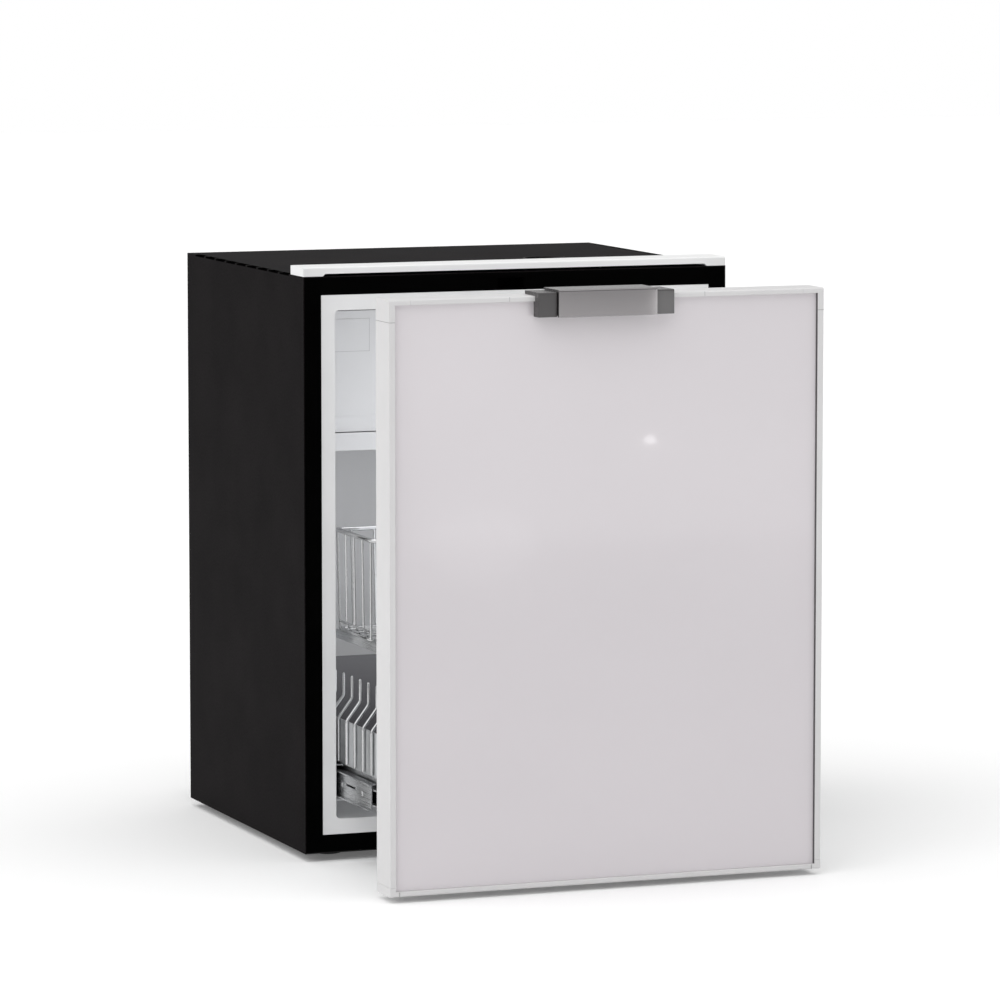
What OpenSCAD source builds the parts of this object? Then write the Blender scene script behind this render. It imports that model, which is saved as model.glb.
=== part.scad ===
// Built-in drawer refrigerator, drawn with its drawer part of the way out.
// Origin: on the floor, under the middle of the cabinet. +Z up, the drawer front faces -Y.

/* [Cabinet] */
// Width of the cabinet
body_w = 440; // [420:1:520]
// Height of the cabinet above its feet
body_h = 561; // [550:1:640]
// Depth of the cabinet without the cooling unit
body_d = 362; // [350:1:420]
// Thickness of the cabinet's sheet steel
sheet_t = 1; // [0.8:0.1:1.5]
// Height of the rubber feet
foot_h = 8; // [6:1:20]
// Radius of a rubber foot
foot_r = 15; // [10:1:20]
// Distance of the feet's centres from the cabinet's sides
foot_side = 40; // [30:1:60]
// Distance of the feet's centres from the cabinet's front and back
foot_end = 50; // [40:1:80]
// Width of the black border on the cabinet's front
border_w = 18; // [16:0.5:24]
// Depth of the black border behind the cabinet's front
border_t = 10; // [8:1:14]
// Width of the liner's front flange beside and above the opening
flange_w = 14; // [12:0.5:20]
// Height of the liner's front flange at the top and bottom
flange_h = 15; // [13:0.5:20]
// Thickness of the liner's walls
liner_t = 2; // [1.5:0.1:3]
// Radius of the liner opening's corners
liner_r = 4; // [2:0.5:10]
// Thickness of insulation and panel behind the liner
back_wall = 40; // [34:1:50]
// Diameter of the fixing holes through the feet and the base
base_hole_d = 6.4; // [5:0.1:7]

/* [Cabinet top] */
// Depth of the trim bar
trim_d = 38; // [30:1:50]
// Height of the trim bar
trim_h = 9; // [7:0.5:14]
// Height of the gap under the middle of the trim bar
trim_gap = 2.4; // [1.5:0.1:4]
// Width of the trim bar's end tabs
trim_tab = 20; // [14:1:30]
// Radius of the trim bar's front edge
trim_r = 2; // [1:0.5:3]
// Length of one groove of the fold line
groove_l = 28; // [20:1:30]
// Pitch of the grooves of the fold line
groove_pitch = 33; // [32:1:40]
// Width of the fold line's grooves
groove_w = 2; // [1:0.5:3]
// Diameter of the round recess in the cabinet's top
recess_d = 40; // [30:1:50]
// Depth of the round recess
recess_h = 8; // [5:1:12]
// Distance of the recess from the middle of the cabinet
recess_x = 92; // [60:1:120]
// Distance of the recess's centre from the cabinet's front
recess_back = 167; // [120:1:200]

/* [Drawer front] */
// How much narrower the drawer front is than the cabinet, on each side
door_side = 1; // [0:0.5:3]
// How far the drawer front's top is below the cabinet's top
door_low = 5; // [3:0.5:8]
// Thickness of the drawer front
door_t = 37; // [33:1:45]
// How far the drawer front reaches below the cabinet
door_drop = 2; // [0:0.5:5]
// How far the drawer stands open, from the cabinet's front to the back of the drawer front
open_gap = 202; // [150:1:230]
// Gap that the gasket fills when the drawer is closed
seal_gap = 8; // [7:0.5:12]
// Width of the drawer front's side profiles
bezel_w = 6; // [5:0.5:10]
// Height of the drawer front's top and bottom profiles
bezel_h = 5; // [4:0.5:10]
// How far the profiles stand in front of the panel
panel_recess = 3.5; // [2:0.5:5]
// Thickness of the front panel
panel_t = 3; // [2:0.5:5]
// Leg of the upper corner pieces
corner_top = 21; // [16:1:30]
// Leg of the lower corner pieces
corner_low = 9; // [8:1:16]
// Radius of the profiles' outer edges
profile_r = 2; // [1:0.5:3]
// Thickness of the drawer front's inner skin
skin_t = 2; // [1.5:0.5:3]
// Width of the gasket
gasket_w = 14; // [12:1:16]

/* [Latch] */
// Place of the latch's middle, left of the drawer's middle
latch_x = -6.5; // [-20:0.5:20]
// Length of the latch's bar
bar_l = 99; // [80:1:120]
// Length of each latch cap
cap_l = 18.5; // [14:0.5:24]
// How far the caps stand in front of the drawer front
cap_out = 9; // [8:0.5:12]
// How far the bar stands in front of the caps
bar_out = 4; // [2:0.5:6]
// Height of the latch caps
cap_h = 23; // [20:0.5:30]
// Height of the caps' plates above the drawer front
cap_plate = 3.5; // [3.5:0.1:5]
// How far the bar rises above the caps
bar_rise = 2.3; // [2.2:0.1:3]
// Thickness of the bar's walls
bar_t = 2; // [1.6:0.1:2.2]
// Length of the caps' plates from the caps' front to their back end
cap_depth = 35; // [32:0.5:38]
// Diameter of the latch's pivot pins
latch_pin_d = 2; // [1.6:0.1:2.2]
// Running clearance of a pin in its bore
pin_fit = 0.05; // [0.03:0.01:0.1]
// Width of the latch's hook
hook_w = 22; // [16:1:28]
// Thickness of the hook's tongue
hook_t = 3.5; // [3:0.1:4]
// Height of the hook's tooth
tooth_h = 3; // [2.5:0.1:3.2]

/* [Runners] */
// Distance from the runners' rear ends to the liner's back
rail_end = 12; // [6:1:30]
// Height of a runner's cabinet member
rail_h = 36; // [34:0.5:40]
// Width of a runner from the liner to the drawer
rail_w = 12; // [11.8:0.1:13]
// Sheet thickness of a runner
rail_t = 1.2; // [1:0.1:1.5]
// Diameter of the runner balls
ball_d = 3.2; // [2.8:0.1:3.4]
// Distance of the runner behind the cabinet's front
rail_back = 10; // [8:1:16]
// Height of the runner's middle above the liner's floor
rail_rise = 34; // [30:1:45]

/* [Baskets] */
// Sheet thickness of the drawer's frame
frame_t = 1.5; // [1.2:0.1:2]
// Distance from the lower bin's rear to the runners' rear ends
bin_end = 4; // [2:1:20]
// Gap between the drawer front and the lower bin
bin_front = 31; // [28:1:36]
// Height of the lower bin's side plates
bin_h = 43; // [36:1:50]
// Height of the lower bin's rear plate
bin_rear_h = 89; // [70:1:100]
// Pitch of the lower bin's side wires
finger_pitch = 24; // [20:1:30]
// Diameter of the lower bin's side wires
finger_d = 3; // [2.5:0.1:3.2]
// Height of the lower bin's side wires
finger_h = 84.5; // [78:0.5:96]
// How far the side wires step inwards
finger_step = 14; // [8:0.5:16]
// Height of the upper rails above the lower bin's floor
upper_rail_z = 120; // [110:1:125]
// Height of an upper rail's band
upper_rail_h = 8.5; // [7:0.5:12]
// Distance of the upper basket behind the lower bin's front
basket_front = 87; // [82:1:100]
// Length of the upper basket
basket_len = 105; // [96:1:170]
// Height from the upper basket's bottom wires to its rim
basket_h = 96; // [90:1:97]
// Diameter of the upper basket's rim
rim_d = 4.5; // [4:0.1:5]
// Diameter of the upper basket's base frame
base_rod_d = 4; // [3:0.1:4.5]
// Diameter of the upper basket's wires
wire_d = 2.4; // [2:0.1:3]
// Pitch of the upper basket's wires
wire_pitch = 24; // [20:1:30]
// Distance of the divider to the right of the upper basket's middle
divider_x = 35; // [10:1:60]

/* [Freezer] */
// Depth of the freezer compartment
freezer_d = 182; // [160:1:190]
// Height of the freezer flap
flap_h = 120; // [100:1:124]
// Thickness of the freezer flap
flap_t = 6; // [5:0.5:8]
// Distance of the flap's top below the liner's ceiling
flap_top = 12.5; // [12:0.5:16]
// Gap between the flap and the pieces around it
flap_gap = 2; // [1.5:0.1:3]
// Height of the band on the drip tray
band_h = 18; // [14:1:22]
// Height of the flap's hollow grip at its lower edge
grip_h = 17; // [14:0.5:22]
// Width of the raised pad on the flap
pad_w = 61; // [40:1:90]
// Height of the raised pad on the flap
pad_h = 32; // [20:1:40]
// Distance of the raised pad from the flap's left edge
pad_side = 12; // [6:1:20]
// Distance of the raised pad from the flap's top edge
pad_low = 8; // [4:1:16]
// Diameter of the flap's hinge pins
flap_pin_d = 3; // [2.5:0.1:4]
// Thickness of the cooling plate of the freezer
plate_t = 1.5; // [1.2:0.1:2.5]

/* [Thermostat] */
// Depth of the thermostat housing
stat_d = 80; // [60:1:90]
// Width of the thermostat housing
stat_w = 32; // [30:1:40]
// Height of the thermostat housing
stat_h = 40; // [34:1:42]
// Diameter of the thermostat knob
knob_d = 26; // [20:1:28]
// Length of the thermostat knob
knob_l = 10; // [8:1:14]

/* [Cooling unit] */
// Distance of the cooling unit's tray from the cabinet's sides
unit_side = 50; // [10:1:55]
// Depth of the cooling unit's tray
unit_d = 96; // [96:1:110]
// Height of the cooling unit's tray above the cabinet's underside
unit_rise = 20; // [10:1:40]
// Diameter of the compressor's shell
comp_d = 88; // [80:1:90]
// Height of the compressor's shell
comp_h = 125; // [100:1:130]
// Width of the condenser
cond_w = 150; // [130:1:155]
// Depth of the condenser's fins
cond_d = 25; // [20:1:28]
// Number of the condenser's tube runs
cond_rows = 6; // [4:2:8]
// Pitch of the condenser's tube runs
cond_pitch = 22; // [20:1:24]
// Diameter of the condenser's tube
tube_d = 6; // [5:0.5:8]
// Pitch of the condenser's fins
fin_pitch = 7; // [6:1:10]
// Size of the fan's square frame
fan_s = 92; // [80:1:100]
// Depth of the fan's frame
fan_d = 25; // [20:1:25]
// Number of fan blades
blades = 7; // [5:1:9]

/* [Hidden] */
$fn = 32;

// Places on the cabinet
half_w = body_w / 2;
front_y = -body_d / 2;
back_y = body_d / 2;
base_z = foot_h;
base_hole_l = 16;
top_z = base_z + body_h;
in_x = half_w - border_w - flange_w;
in_z0 = base_z + border_w + flange_h;
in_z1 = top_z - border_w - flange_h;
liner_y = back_y - back_wall;
border_x = half_w - border_w;
border_z0 = base_z + border_w;
border_z1 = top_z - border_w;
recess_y = front_y + recess_back;
recess_wall = 1.5;

// Places on the drawer front
door_back = front_y - open_gap;
door_front = door_back - door_t;
door_x = half_w - door_side;
door_z0 = base_z - door_drop;
door_z1 = top_z - door_low;
panel_front = door_front + panel_recess;
panel_back = panel_front + panel_t;
panel_x = door_x - bezel_w;
panel_z0 = door_z0 + bezel_h;
panel_z1 = door_z1 - bezel_h;

// How far the drawer moves from its drawn place
close_travel = open_gap - seal_gap;

// Places on the latch, from the pivot out
cap_front = door_front - cap_out;
bar_front = cap_front - bar_out;
cap_back = cap_front + cap_depth;
cap_top = door_z1 + cap_plate;
cap_z0 = cap_top - cap_h;
bar_top = cap_top + bar_rise;
bar_under = bar_top - bar_t;
pivot_y = cap_back - 4;
pivot_z = door_z1 + 1.9;
latch_gap = 0.3;
notch_w = hook_w + 10;
notch_z = door_z1 - 12;
notch_y = pivot_y - 7;
tongue_top = door_z1 - 1.5;
tongue_z = tongue_top - hook_t;
tongue_end = door_back + 19;
tooth_l = 6;
base_t = 0.8;

// The slot in the cabinet's border that takes the hook
keeper_w = hook_w + 8;
keeper_t = 1.2;
keeper_floor = 0.6;
keeper_top = top_z - sheet_t;
keeper_d = 18;
slot_z = tongue_z - 6.8;
lip_z = tongue_top + 0.7;
lip_t = 1.8;

// Places on the runners
rail_z = in_z0 + rail_rise;
rail_y = front_y + rail_back;
rail_len = liner_y - rail_end - rail_y;
rail_in = in_x - rail_w;
step_z = (rail_h / 2 - rail_t - ball_d) - 0.6;
middle_h = 2 * step_z;
inner_h = 2 * (step_z - rail_t - ball_d - 0.6);
web_mid = in_x - 5.6;
ball_x = (rail_in + rail_t + web_mid) / 2;
runner_screw_d = 4;
cage_end = 60;

// Places on the baskets
bin_x = in_x - 6.5;
bin_z = rail_z + rail_h / 2 + 2;
bin_y0 = door_back + bin_front;
bin_y1 = rail_y - close_travel + rail_len - bin_end;
bin_len = bin_y1 - bin_y0;
floor_t = 1.2;
frame_screw_d = 3.6;
frame_flange = 26;
bin_floor = bin_z + floor_t;
finger_end = 8.2;
upper_z = bin_z + upper_rail_z;
basket_y0 = bin_y0 + basket_front;
basket_y1 = basket_y0 + basket_len;
basket_z0 = upper_z + upper_rail_h + base_rod_d / 2 + 0.05;
basket_z1 = basket_z0 + basket_h;
basket_x = in_x - 8;
base_x = basket_x - 1;
base_front = basket_y0 + 8;
base_back = basket_y1 - 8;
upright_h = upper_z + upper_rail_h - rail_z + inner_h / 2;

// Places in the freezer
face_y = liner_y - freezer_d;
flap_z1 = in_z1 - flap_top;
flap_z0 = flap_z1 - flap_h;
cheek = 10;
flap_x = in_x - cheek - flap_gap;
hinge_y = face_y + 4.5;
hinge_z = flap_z1 - 4;
tray_z1 = flap_z0 - 1;
tray_z0 = tray_z1 - band_h;
plate_x = in_x - 16;
plate_y0 = face_y + 17;
plate_y1 = liner_y - 11;
plate_z0 = flap_z0 + 2.5;
plate_z1 = flap_z1 - 1.5;
tray_y1 = liner_y - 8;

// Places on the thermostat
stat_y = face_y + 41;
stat_z1 = tray_z0 - 4.5;
stat_z0 = stat_z1 - stat_h;
stat_x = in_x - stat_w;
knob_x = in_x - stat_w / 2;
knob_z = (stat_z0 + stat_z1) / 2;
stem_d = 6;
stem_l = 8;

// Places on the cooling unit
unit_w = body_w - 2 * unit_side;
unit_z = base_z + unit_rise;
unit_t = 1.5;
unit_top = unit_z + unit_t;
unit_back = back_y + unit_d;
comp_x = -unit_w / 2 + comp_d / 2 + 16;
comp_y = back_y + comp_d / 2 + 4;
grommet_h = 8;
tray_screw_d = 4;
tray_back_h = 34;
comp_foot = unit_top + grommet_h;
foot_plate = 2;
comp_z = comp_foot + foot_plate;
comp_top = comp_z + comp_h;
comp_bolt = comp_d / 2 - 9;
cond_x1 = unit_w / 2 - 3;
cond_x0 = cond_x1 - cond_w;
cond_y = back_y + 24;
cond_z = unit_top + 14;
cond_h = cond_rows * cond_pitch;
cond_mid = cond_y + cond_d / 2;
fin_t = 0.4;
end_t = 1.2;
tube_x0 = cond_x0 + 6;
tube_x1 = cond_x1 - 12;
shroud_x0 = tube_x0 + 2;
shroud_x1 = tube_x1 - 2;
fan_x = (shroud_x0 + shroud_x1) / 2;
fan_z = cond_z + cond_h / 2;
shroud_t = 3;
shroud_y = cond_y + cond_d;
fan_y = shroud_y + shroud_t;
fan_hole = fan_s - 6;
fan_screw = fan_s / 2 - 6;
hub_d = 34;
motor_l = 9;
shaft_d = 3;
rotor_gap = 1;
rotor_y = fan_y + 3;
rotor_l = fan_d - motor_l - 3 - rotor_gap;
guard_y = fan_y + fan_d;
box_x0 = -unit_w / 2 + 6;
box_w = 100;
box_z = comp_top + 24;
pipe_d = 6;
bend_x = tube_x0 - cond_pitch / 2 - tube_d / 2;
drier_x = (comp_x + comp_d / 2 + bend_x) / 2;
drier_y = cond_mid;
drier_z = unit_top + 40;
drier_h = 90;
suction_d = 8;
capillary_d = 2.4;

// A box between two corners
module block(a, b) {
    translate(a) cube(b - a);
}

// A piece and its mirror image on the other side of the cabinet
module both_sides() {
    children();
    mirror([1, 0, 0]) children();
}

// An outline in the YZ plane, drawn out along X
module along_x(x0, x1) {
    translate([x0, 0, 0]) rotate([90, 0, 90]) linear_extrude(x1 - x0) children();
}

// An outline in the XZ plane, drawn out along Y
module along_y(y0, y1) {
    translate([0, y1, 0]) rotate([90, 0, 0]) linear_extrude(y1 - y0) children();
}

// A rectangle between two corners with round corners
module soft_rect(a, b, r) {
    translate([a.x + r, a.y]) square([b.x - a.x - 2 * r, b.y - a.y]);
    translate([a.x, a.y + r]) square([b.x - a.x, b.y - a.y - 2 * r]);
    for (x = [a.x + r, b.x - r], y = [a.y + r, b.y - r]) translate([x, y]) circle(r);
}

// A straight rod between two points
module rod(p, q, d) {
    v = q - p;
    length = norm(v);
    translate(p) rotate([0, acos(v.z / length), atan2(v.y, v.x)]) cylinder(h = length, d = d);
}

// The ball at a rod's bend or tip, a little fuller than the rod
module knuckle(p, d) {
    translate(p) sphere(d = d * 1.02);
}

// A rod that runs through a list of points
module bent_rod(points, d) {
    for (i = [1 : len(points) - 1]) rod(points[i - 1], points[i], d);
    for (i = [1 : len(points) - 2]) knuckle(points[i], d);
}

// A round piece along Y
module along_y_round(p, y1, d) {
    translate(p) rotate([-90, 0, 0]) cylinder(h = y1 - p.y, d = d);
}

// A round piece along X
module along_x_round(p, x1, d) {
    translate(p) rotate([0, 90, 0]) cylinder(h = x1 - p.x, d = d);
}

module outer_case() {
    edge_x = half_w - 2 * groove_w;
    run_y = body_d - trim_d - groove_pitch / 2;
    count = floor(run_y / groove_pitch);
    color("#232021") difference() {
        block([-half_w, front_y, base_z], [half_w, back_y, top_z]);
        block([-half_w + sheet_t, front_y - 1, base_z - 1],
            [half_w - sheet_t, back_y + 1, top_z - sheet_t]);
        translate([recess_x, recess_y, top_z - 2 * sheet_t]) cylinder(h = 3 * sheet_t, d = recess_d);
        both_sides() for (i = [0 : count - 1])
            translate([edge_x, front_y + trim_d + 5 + i * groove_pitch, top_z - sheet_t * 0.6])
                cube([groove_w, groove_l, sheet_t]);
    }
}

// Places of the four feet
module at_feet() {
    for (x = [foot_side - half_w, half_w - foot_side], y = [front_y + foot_end, back_y - foot_end])
        translate([x, y, 0]) children();
}

module base_plate() {
    color("#232021") difference() {
        block([-half_w + sheet_t, front_y, base_z],
            [half_w - sheet_t, back_y, base_z + sheet_t]);
        at_feet() translate([0, 0, base_z - 1]) cylinder(h = sheet_t + 2, d = base_hole_d);
    }
}

module rear_panel() {
    color("#2b2a2b") block([-half_w + sheet_t, back_y - sheet_t, base_z + sheet_t],
        [half_w - sheet_t, back_y, top_z - sheet_t]);
}

module keeper_pocket() {
    block([latch_x - keeper_w / 2, front_y - 1, slot_z],
        [latch_x + keeper_w / 2, front_y + keeper_d, keeper_top]);
}

module front_border() {
    color("#08080a") difference() {
        along_y(front_y, front_y + border_t) difference() {
            translate([-half_w + sheet_t, base_z + sheet_t])
                square([body_w - 2 * sheet_t, body_h - 2 * sheet_t]);
            translate([-border_x, border_z0]) square([2 * border_x, border_z1 - border_z0]);
        }
        keeper_pocket();
    }
}

module cabinet_insulation() {
    color("#e6d9a8") difference() {
        block([-half_w + sheet_t, front_y + liner_t, base_z + sheet_t],
            [half_w - sheet_t, back_y - sheet_t, top_z - sheet_t]);
        along_y(front_y, front_y + border_t) difference() {
            translate([-half_w, base_z]) square([body_w, body_h]);
            translate([-border_x, border_z0]) square([2 * border_x, border_z1 - border_z0]);
        }
        block([-in_x - liner_t, front_y, in_z0 - liner_t],
            [in_x + liner_t, liner_y + liner_t, in_z1 + liner_t]);
        keeper_pocket();
        translate([recess_x, recess_y, top_z - recess_h - recess_wall])
            cylinder(h = recess_h + recess_wall, d = recess_d);
        at_feet() translate([0, 0, base_z]) cylinder(h = base_hole_l, d = base_hole_d);
    }
}

module inner_liner() {
    color("#d8d8d8") difference() {
        union() {
            block([-border_x, front_y, border_z0], [border_x, front_y + liner_t, border_z1]);
            block([-in_x - liner_t, front_y, in_z0 - liner_t],
                [in_x + liner_t, liner_y + liner_t, in_z1 + liner_t]);
        }
        along_y(front_y - 1, liner_y) soft_rect([-in_x, in_z0], [in_x, in_z1], liner_r);
    }
}

module top_trim_bar() {
    chamfer = trim_gap;
    pocket_x = half_w - trim_tab;
    color("#f2f2f2") difference() {
        along_x(-half_w, half_w) difference() {
            translate([front_y, top_z]) square([trim_d, trim_h]);
            translate([front_y, top_z + trim_h - trim_r]) difference() {
                square([trim_r, trim_r]);
                translate([trim_r, 0]) circle(trim_r);
            }
        }
        along_y(front_y - 1, front_y + trim_d - 2 * trim_gap) polygon([
            [-pocket_x, top_z - 1], [-pocket_x, top_z],
            [-pocket_x + chamfer, top_z + trim_gap], [pocket_x - chamfer, top_z + trim_gap],
            [pocket_x, top_z], [pocket_x, top_z - 1]]);
    }
}

module top_recess_cup() {
    color("#141314") translate([recess_x, recess_y, top_z - recess_h - recess_wall]) difference() {
        cylinder(h = recess_h + recess_wall, d = recess_d);
        translate([0, 0, recess_wall])
            cylinder(h = recess_h + 1, d = recess_d - 2 * recess_wall);
        for (a = [0 : 60 : 300]) rotate([0, 0, a]) translate([recess_d / 4, 0, -1])
            cylinder(h = recess_wall + 2, d = 3);
    }
}

module rubber_feet() {
    color("#1a1a1a") at_feet() difference() {
        cylinder(h = foot_h, r1 = foot_r - 2, r2 = foot_r);
        translate([0, 0, -1]) cylinder(h = foot_h + 2, d = base_hole_d);
    }
}

module latch_keeper() {
    x0 = latch_x - keeper_w / 2;
    x1 = latch_x + keeper_w / 2;
    y1 = front_y + keeper_d;
    z0 = slot_z + keeper_floor;
    color("#1b1b1d") difference() {
        block([x0, front_y, slot_z], [x1, y1, keeper_top]);
        along_x(x0 + keeper_t, x1 - keeper_t) polygon([
            [front_y - 1, z0], [y1 - keeper_t, z0], [y1 - keeper_t, keeper_top - keeper_t],
            [front_y + lip_t, keeper_top - keeper_t], [front_y + lip_t, lip_z],
            [front_y - 1, lip_z]]);
    }
}

module evaporator() {
    hanger_d = 8;
    hanger_side = 30;
    hanger_in = 25;
    color("#c3c6c8") {
        difference() {
            block([-plate_x, plate_y0, plate_z0], [plate_x, plate_y1, plate_z1]);
            block([-plate_x + plate_t, plate_y0 - 1, plate_z0 + plate_t],
                [plate_x - plate_t, plate_y1 - plate_t, plate_z1 - plate_t]);
        }
        for (x = [-plate_x + hanger_side, plate_x - hanger_side],
            y = [plate_y0 + hanger_in, plate_y1 - hanger_in])
            translate([x, y, plate_z1]) cylinder(h = in_z1 - plate_z1, d = hanger_d);
    }
}

module freezer_frame() {
    bore_d = flap_pin_d + 2 * pin_fit;
    hinge_rim = flap_z1 + flap_gap + plate_t;
    lip = 4;
    color("#e4e4e6") difference() {
        intersection() {
            along_y(face_y, plate_y0) soft_rect([-in_x, in_z0], [in_x, in_z1], liner_r);
            union() {
                both_sides() {
                    block([in_x - cheek, face_y, flap_z0], [in_x, plate_y0, in_z1]);
                    block([plate_x, plate_y0 - lip, plate_z0], [in_x - cheek, plate_y0, plate_z1]);
                }
                block([-in_x + cheek, face_y, hinge_rim], [in_x - cheek, plate_y0, in_z1]);
                block([-in_x + cheek, plate_y0 - lip, plate_z1],
                    [in_x - cheek, plate_y0, hinge_rim]);
            }
        }
        along_x_round([-in_x + 2, hinge_y, hinge_z], in_x - 2, bore_d);
    }
}

module freezer_flap() {
    pad_x0 = -flap_x + pad_side;
    pad_z1 = flap_z1 - pad_low;
    pad_t = 0.6;
    pin_l = cheek - 2 - 1;
    color("#e9e9ec") {
        difference() {
            along_x(-flap_x, flap_x) difference() {
                translate([face_y, flap_z0]) square([flap_t, flap_h]);
                translate([face_y - grip_h * 0.75, flap_z0 + grip_h / 2]) circle(grip_h * 0.9);
            }
            for (x = [-flap_x + 30, 0, flap_x - 30])
                block([x - 14, face_y + flap_t - 1.5, flap_z0 + grip_h + 14],
                    [x + 14, face_y + flap_t + 1, flap_z1 - 20]);
        }
        block([pad_x0, face_y - pad_t, pad_z1 - pad_h], [pad_x0 + pad_w, face_y, pad_z1]);
        both_sides()
            along_x_round([flap_x, hinge_y, hinge_z], flap_x + flap_gap + pin_l, flap_pin_d);
    }
}

module drip_tray() {
    wall = 2;
    lip_d = 5;
    color("#dfe0e3") difference() {
        union() {
            block([-in_x + flap_gap, face_y, tray_z0], [in_x - flap_gap, tray_y1, tray_z1]);
            both_sides()
                block([in_x - flap_gap, face_y + 20, tray_z0 + 6], [in_x, tray_y1, tray_z0 + 9]);
        }
        block([-in_x + flap_gap + wall, face_y + lip_d, tray_z0 + wall],
            [in_x - flap_gap - wall, tray_y1 - wall, tray_z1 + 1]);
    }
}

module thermostat_housing() {
    stem_bore = stem_d + 2 * pin_fit;
    color("#e2e2e4") difference() {
        along_x(stat_x, in_x) soft_rect([stat_y, stat_z0], [stat_y + stat_d, stat_z1], 4);
        along_y_round([knob_x, stat_y - 1, knob_z], stat_y + stem_l + 2, stem_bore);
        for (i = [0 : 4])
            block([stat_x + 8, stat_y + stat_d - 8 - 6 * i, stat_z0 - 1],
                [in_x - 8, stat_y + stat_d - 5 - 6 * i, stat_z0 + 6]);
    }
}

module thermostat_knob() {
    grip_t = 4;
    gap = 0.3;
    color("#f0f0f0") {
        difference() {
            union() {
                along_y_round([knob_x, stat_y - knob_l * 0.5, knob_z], stat_y - gap, knob_d);
                block([knob_x - grip_t / 2, stat_y - knob_l, knob_z - knob_d * 0.44],
                    [knob_x + grip_t / 2, stat_y - knob_l * 0.4, knob_z + knob_d * 0.44]);
            }
            for (a = [0 : 30 : 330]) translate([knob_x, stat_y - knob_l * 0.5 - 1, knob_z])
                rotate([-90, a, 0]) translate([knob_d / 2, 0, 0]) cylinder(h = knob_l, r = 0.8);
        }
        along_y_round([knob_x, stat_y - gap, knob_z], stat_y + stem_l, stem_d);
    }
}

module lamp_lens() {
    color("#f5f3e6") along_x(stat_x - 3, stat_x)
        soft_rect([stat_y + 30, stat_z0 + 7], [stat_y + stat_d - 10, stat_z1 - 7], 3);
}

// A runner member: a web with a flange above and below
module channel_member(y0, z_half, x0, x1, web_x0, web_x1) {
    block([web_x0, y0, rail_z - z_half], [web_x1, y0 + rail_len, rail_z + z_half]);
    for (z = [rail_z - z_half, rail_z + z_half - rail_t])
        block([x0, y0, z], [x1, y0 + rail_len, z + rail_t]);
}

// Places of the screws that hold a runner to the liner
module at_runner_screws() {
    for (y = [rail_y + 40, rail_y + rail_len / 2, rail_y + rail_len - 30])
        translate([in_x - rail_t, y, rail_z]) rotate([0, 90, 0]) children();
}

module runner_cabinet_members() {
    lip = 0.9;
    lip_x = rail_in + 1.7;
    color("#c6c9cc") both_sides() {
        difference() {
            channel_member(rail_y, rail_h / 2, lip_x, in_x, in_x - rail_t, in_x);
            at_runner_screws() translate([0, 0, -1]) cylinder(h = rail_t + 2, d = runner_screw_d + 0.2);
        }
        for (z = [rail_z - rail_h / 2 + rail_t, rail_z + rail_h / 2 - rail_t])
            block([lip_x, rail_y, z - lip], [lip_x + 0.8, rail_y + rail_len, z + lip]);
    }
}

module runner_screws() {
    head = 0.5;
    color("#9a9da0") both_sides() at_runner_screws() {
        translate([0, 0, -head]) cylinder(h = head, d = 7);
        translate([0, 0, -head / 2]) cylinder(h = rail_t + head / 2, d = runner_screw_d);
    }
}

// The member between the cabinet's and the drawer's, drawn for the right side
module middle_member() {
    y0 = rail_y - close_travel / 2;
    rivets = [y0 + 26, y0 + 83.5];
    rivet_d = 4.2;
    difference() {
        channel_member(y0, middle_h / 2, rail_in + 2.6, in_x - rail_t - 0.6,
            web_mid, web_mid + rail_t);
        for (y = concat(rivets, y0 + rail_len - cage_end))
            along_x_round([web_mid - 1, y, rail_z], web_mid + 3, rivet_d);
        block([web_mid - 1, y0 + 45, rail_z + 1], [web_mid + 3, y0 + 72, rail_z + 3]);
    }
    for (y = rivets) along_x_round([web_mid - 0.4, y, rail_z], web_mid + rail_t + 0.8, rivet_d);
}

module runner_middle_left() {
    color("#b4b7ba") mirror([1, 0, 0]) middle_member();
}

module runner_middle_right() {
    color("#b4b7ba") middle_member();
}

// One row of balls in its cage
module ball_row(y, z) {
    cage = 50;
    block([ball_x - 1.2, y, z - 1], [ball_x + 1.2, y + cage, z + 1]);
    for (i = [0 : 3]) translate([ball_x, y + 7 + 12 * i, z]) sphere(d = ball_d);
}

module balls() {
    outer_row = (rail_h / 2 - rail_t + middle_h / 2) / 2;
    inner_row = (middle_h / 2 - rail_t + inner_h / 2) / 2;
    y0 = rail_y - close_travel / 2;
    for (s = [-1, 1]) {
        ball_row(y0 + rail_len - cage_end, rail_z + s * outer_row);
        ball_row(y0 + 10, rail_z + s * inner_row);
    }
}

module runner_balls_left() {
    color("#8f9296") mirror([1, 0, 0]) balls();
}

module runner_balls_right() {
    color("#8f9296") balls();
}

module runner_drawer_members() {
    color("#c6c9cc") both_sides()
        channel_member(rail_y - close_travel, inner_h / 2, rail_in, web_mid - 0.6,
            rail_in, rail_in + rail_t);
}

// Places of the screws that hold a side frame to the drawer front
module at_frame_screws() {
    first = rail_z - inner_h / 2 + frame_flange / 2;
    pitch = (upright_h - frame_flange) / 3;
    for (i = [0 : 3]) translate([rail_in - frame_t - frame_flange / 2, door_back, first + pitch * i])
        rotate([-90, 0, 0]) children();
}

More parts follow.
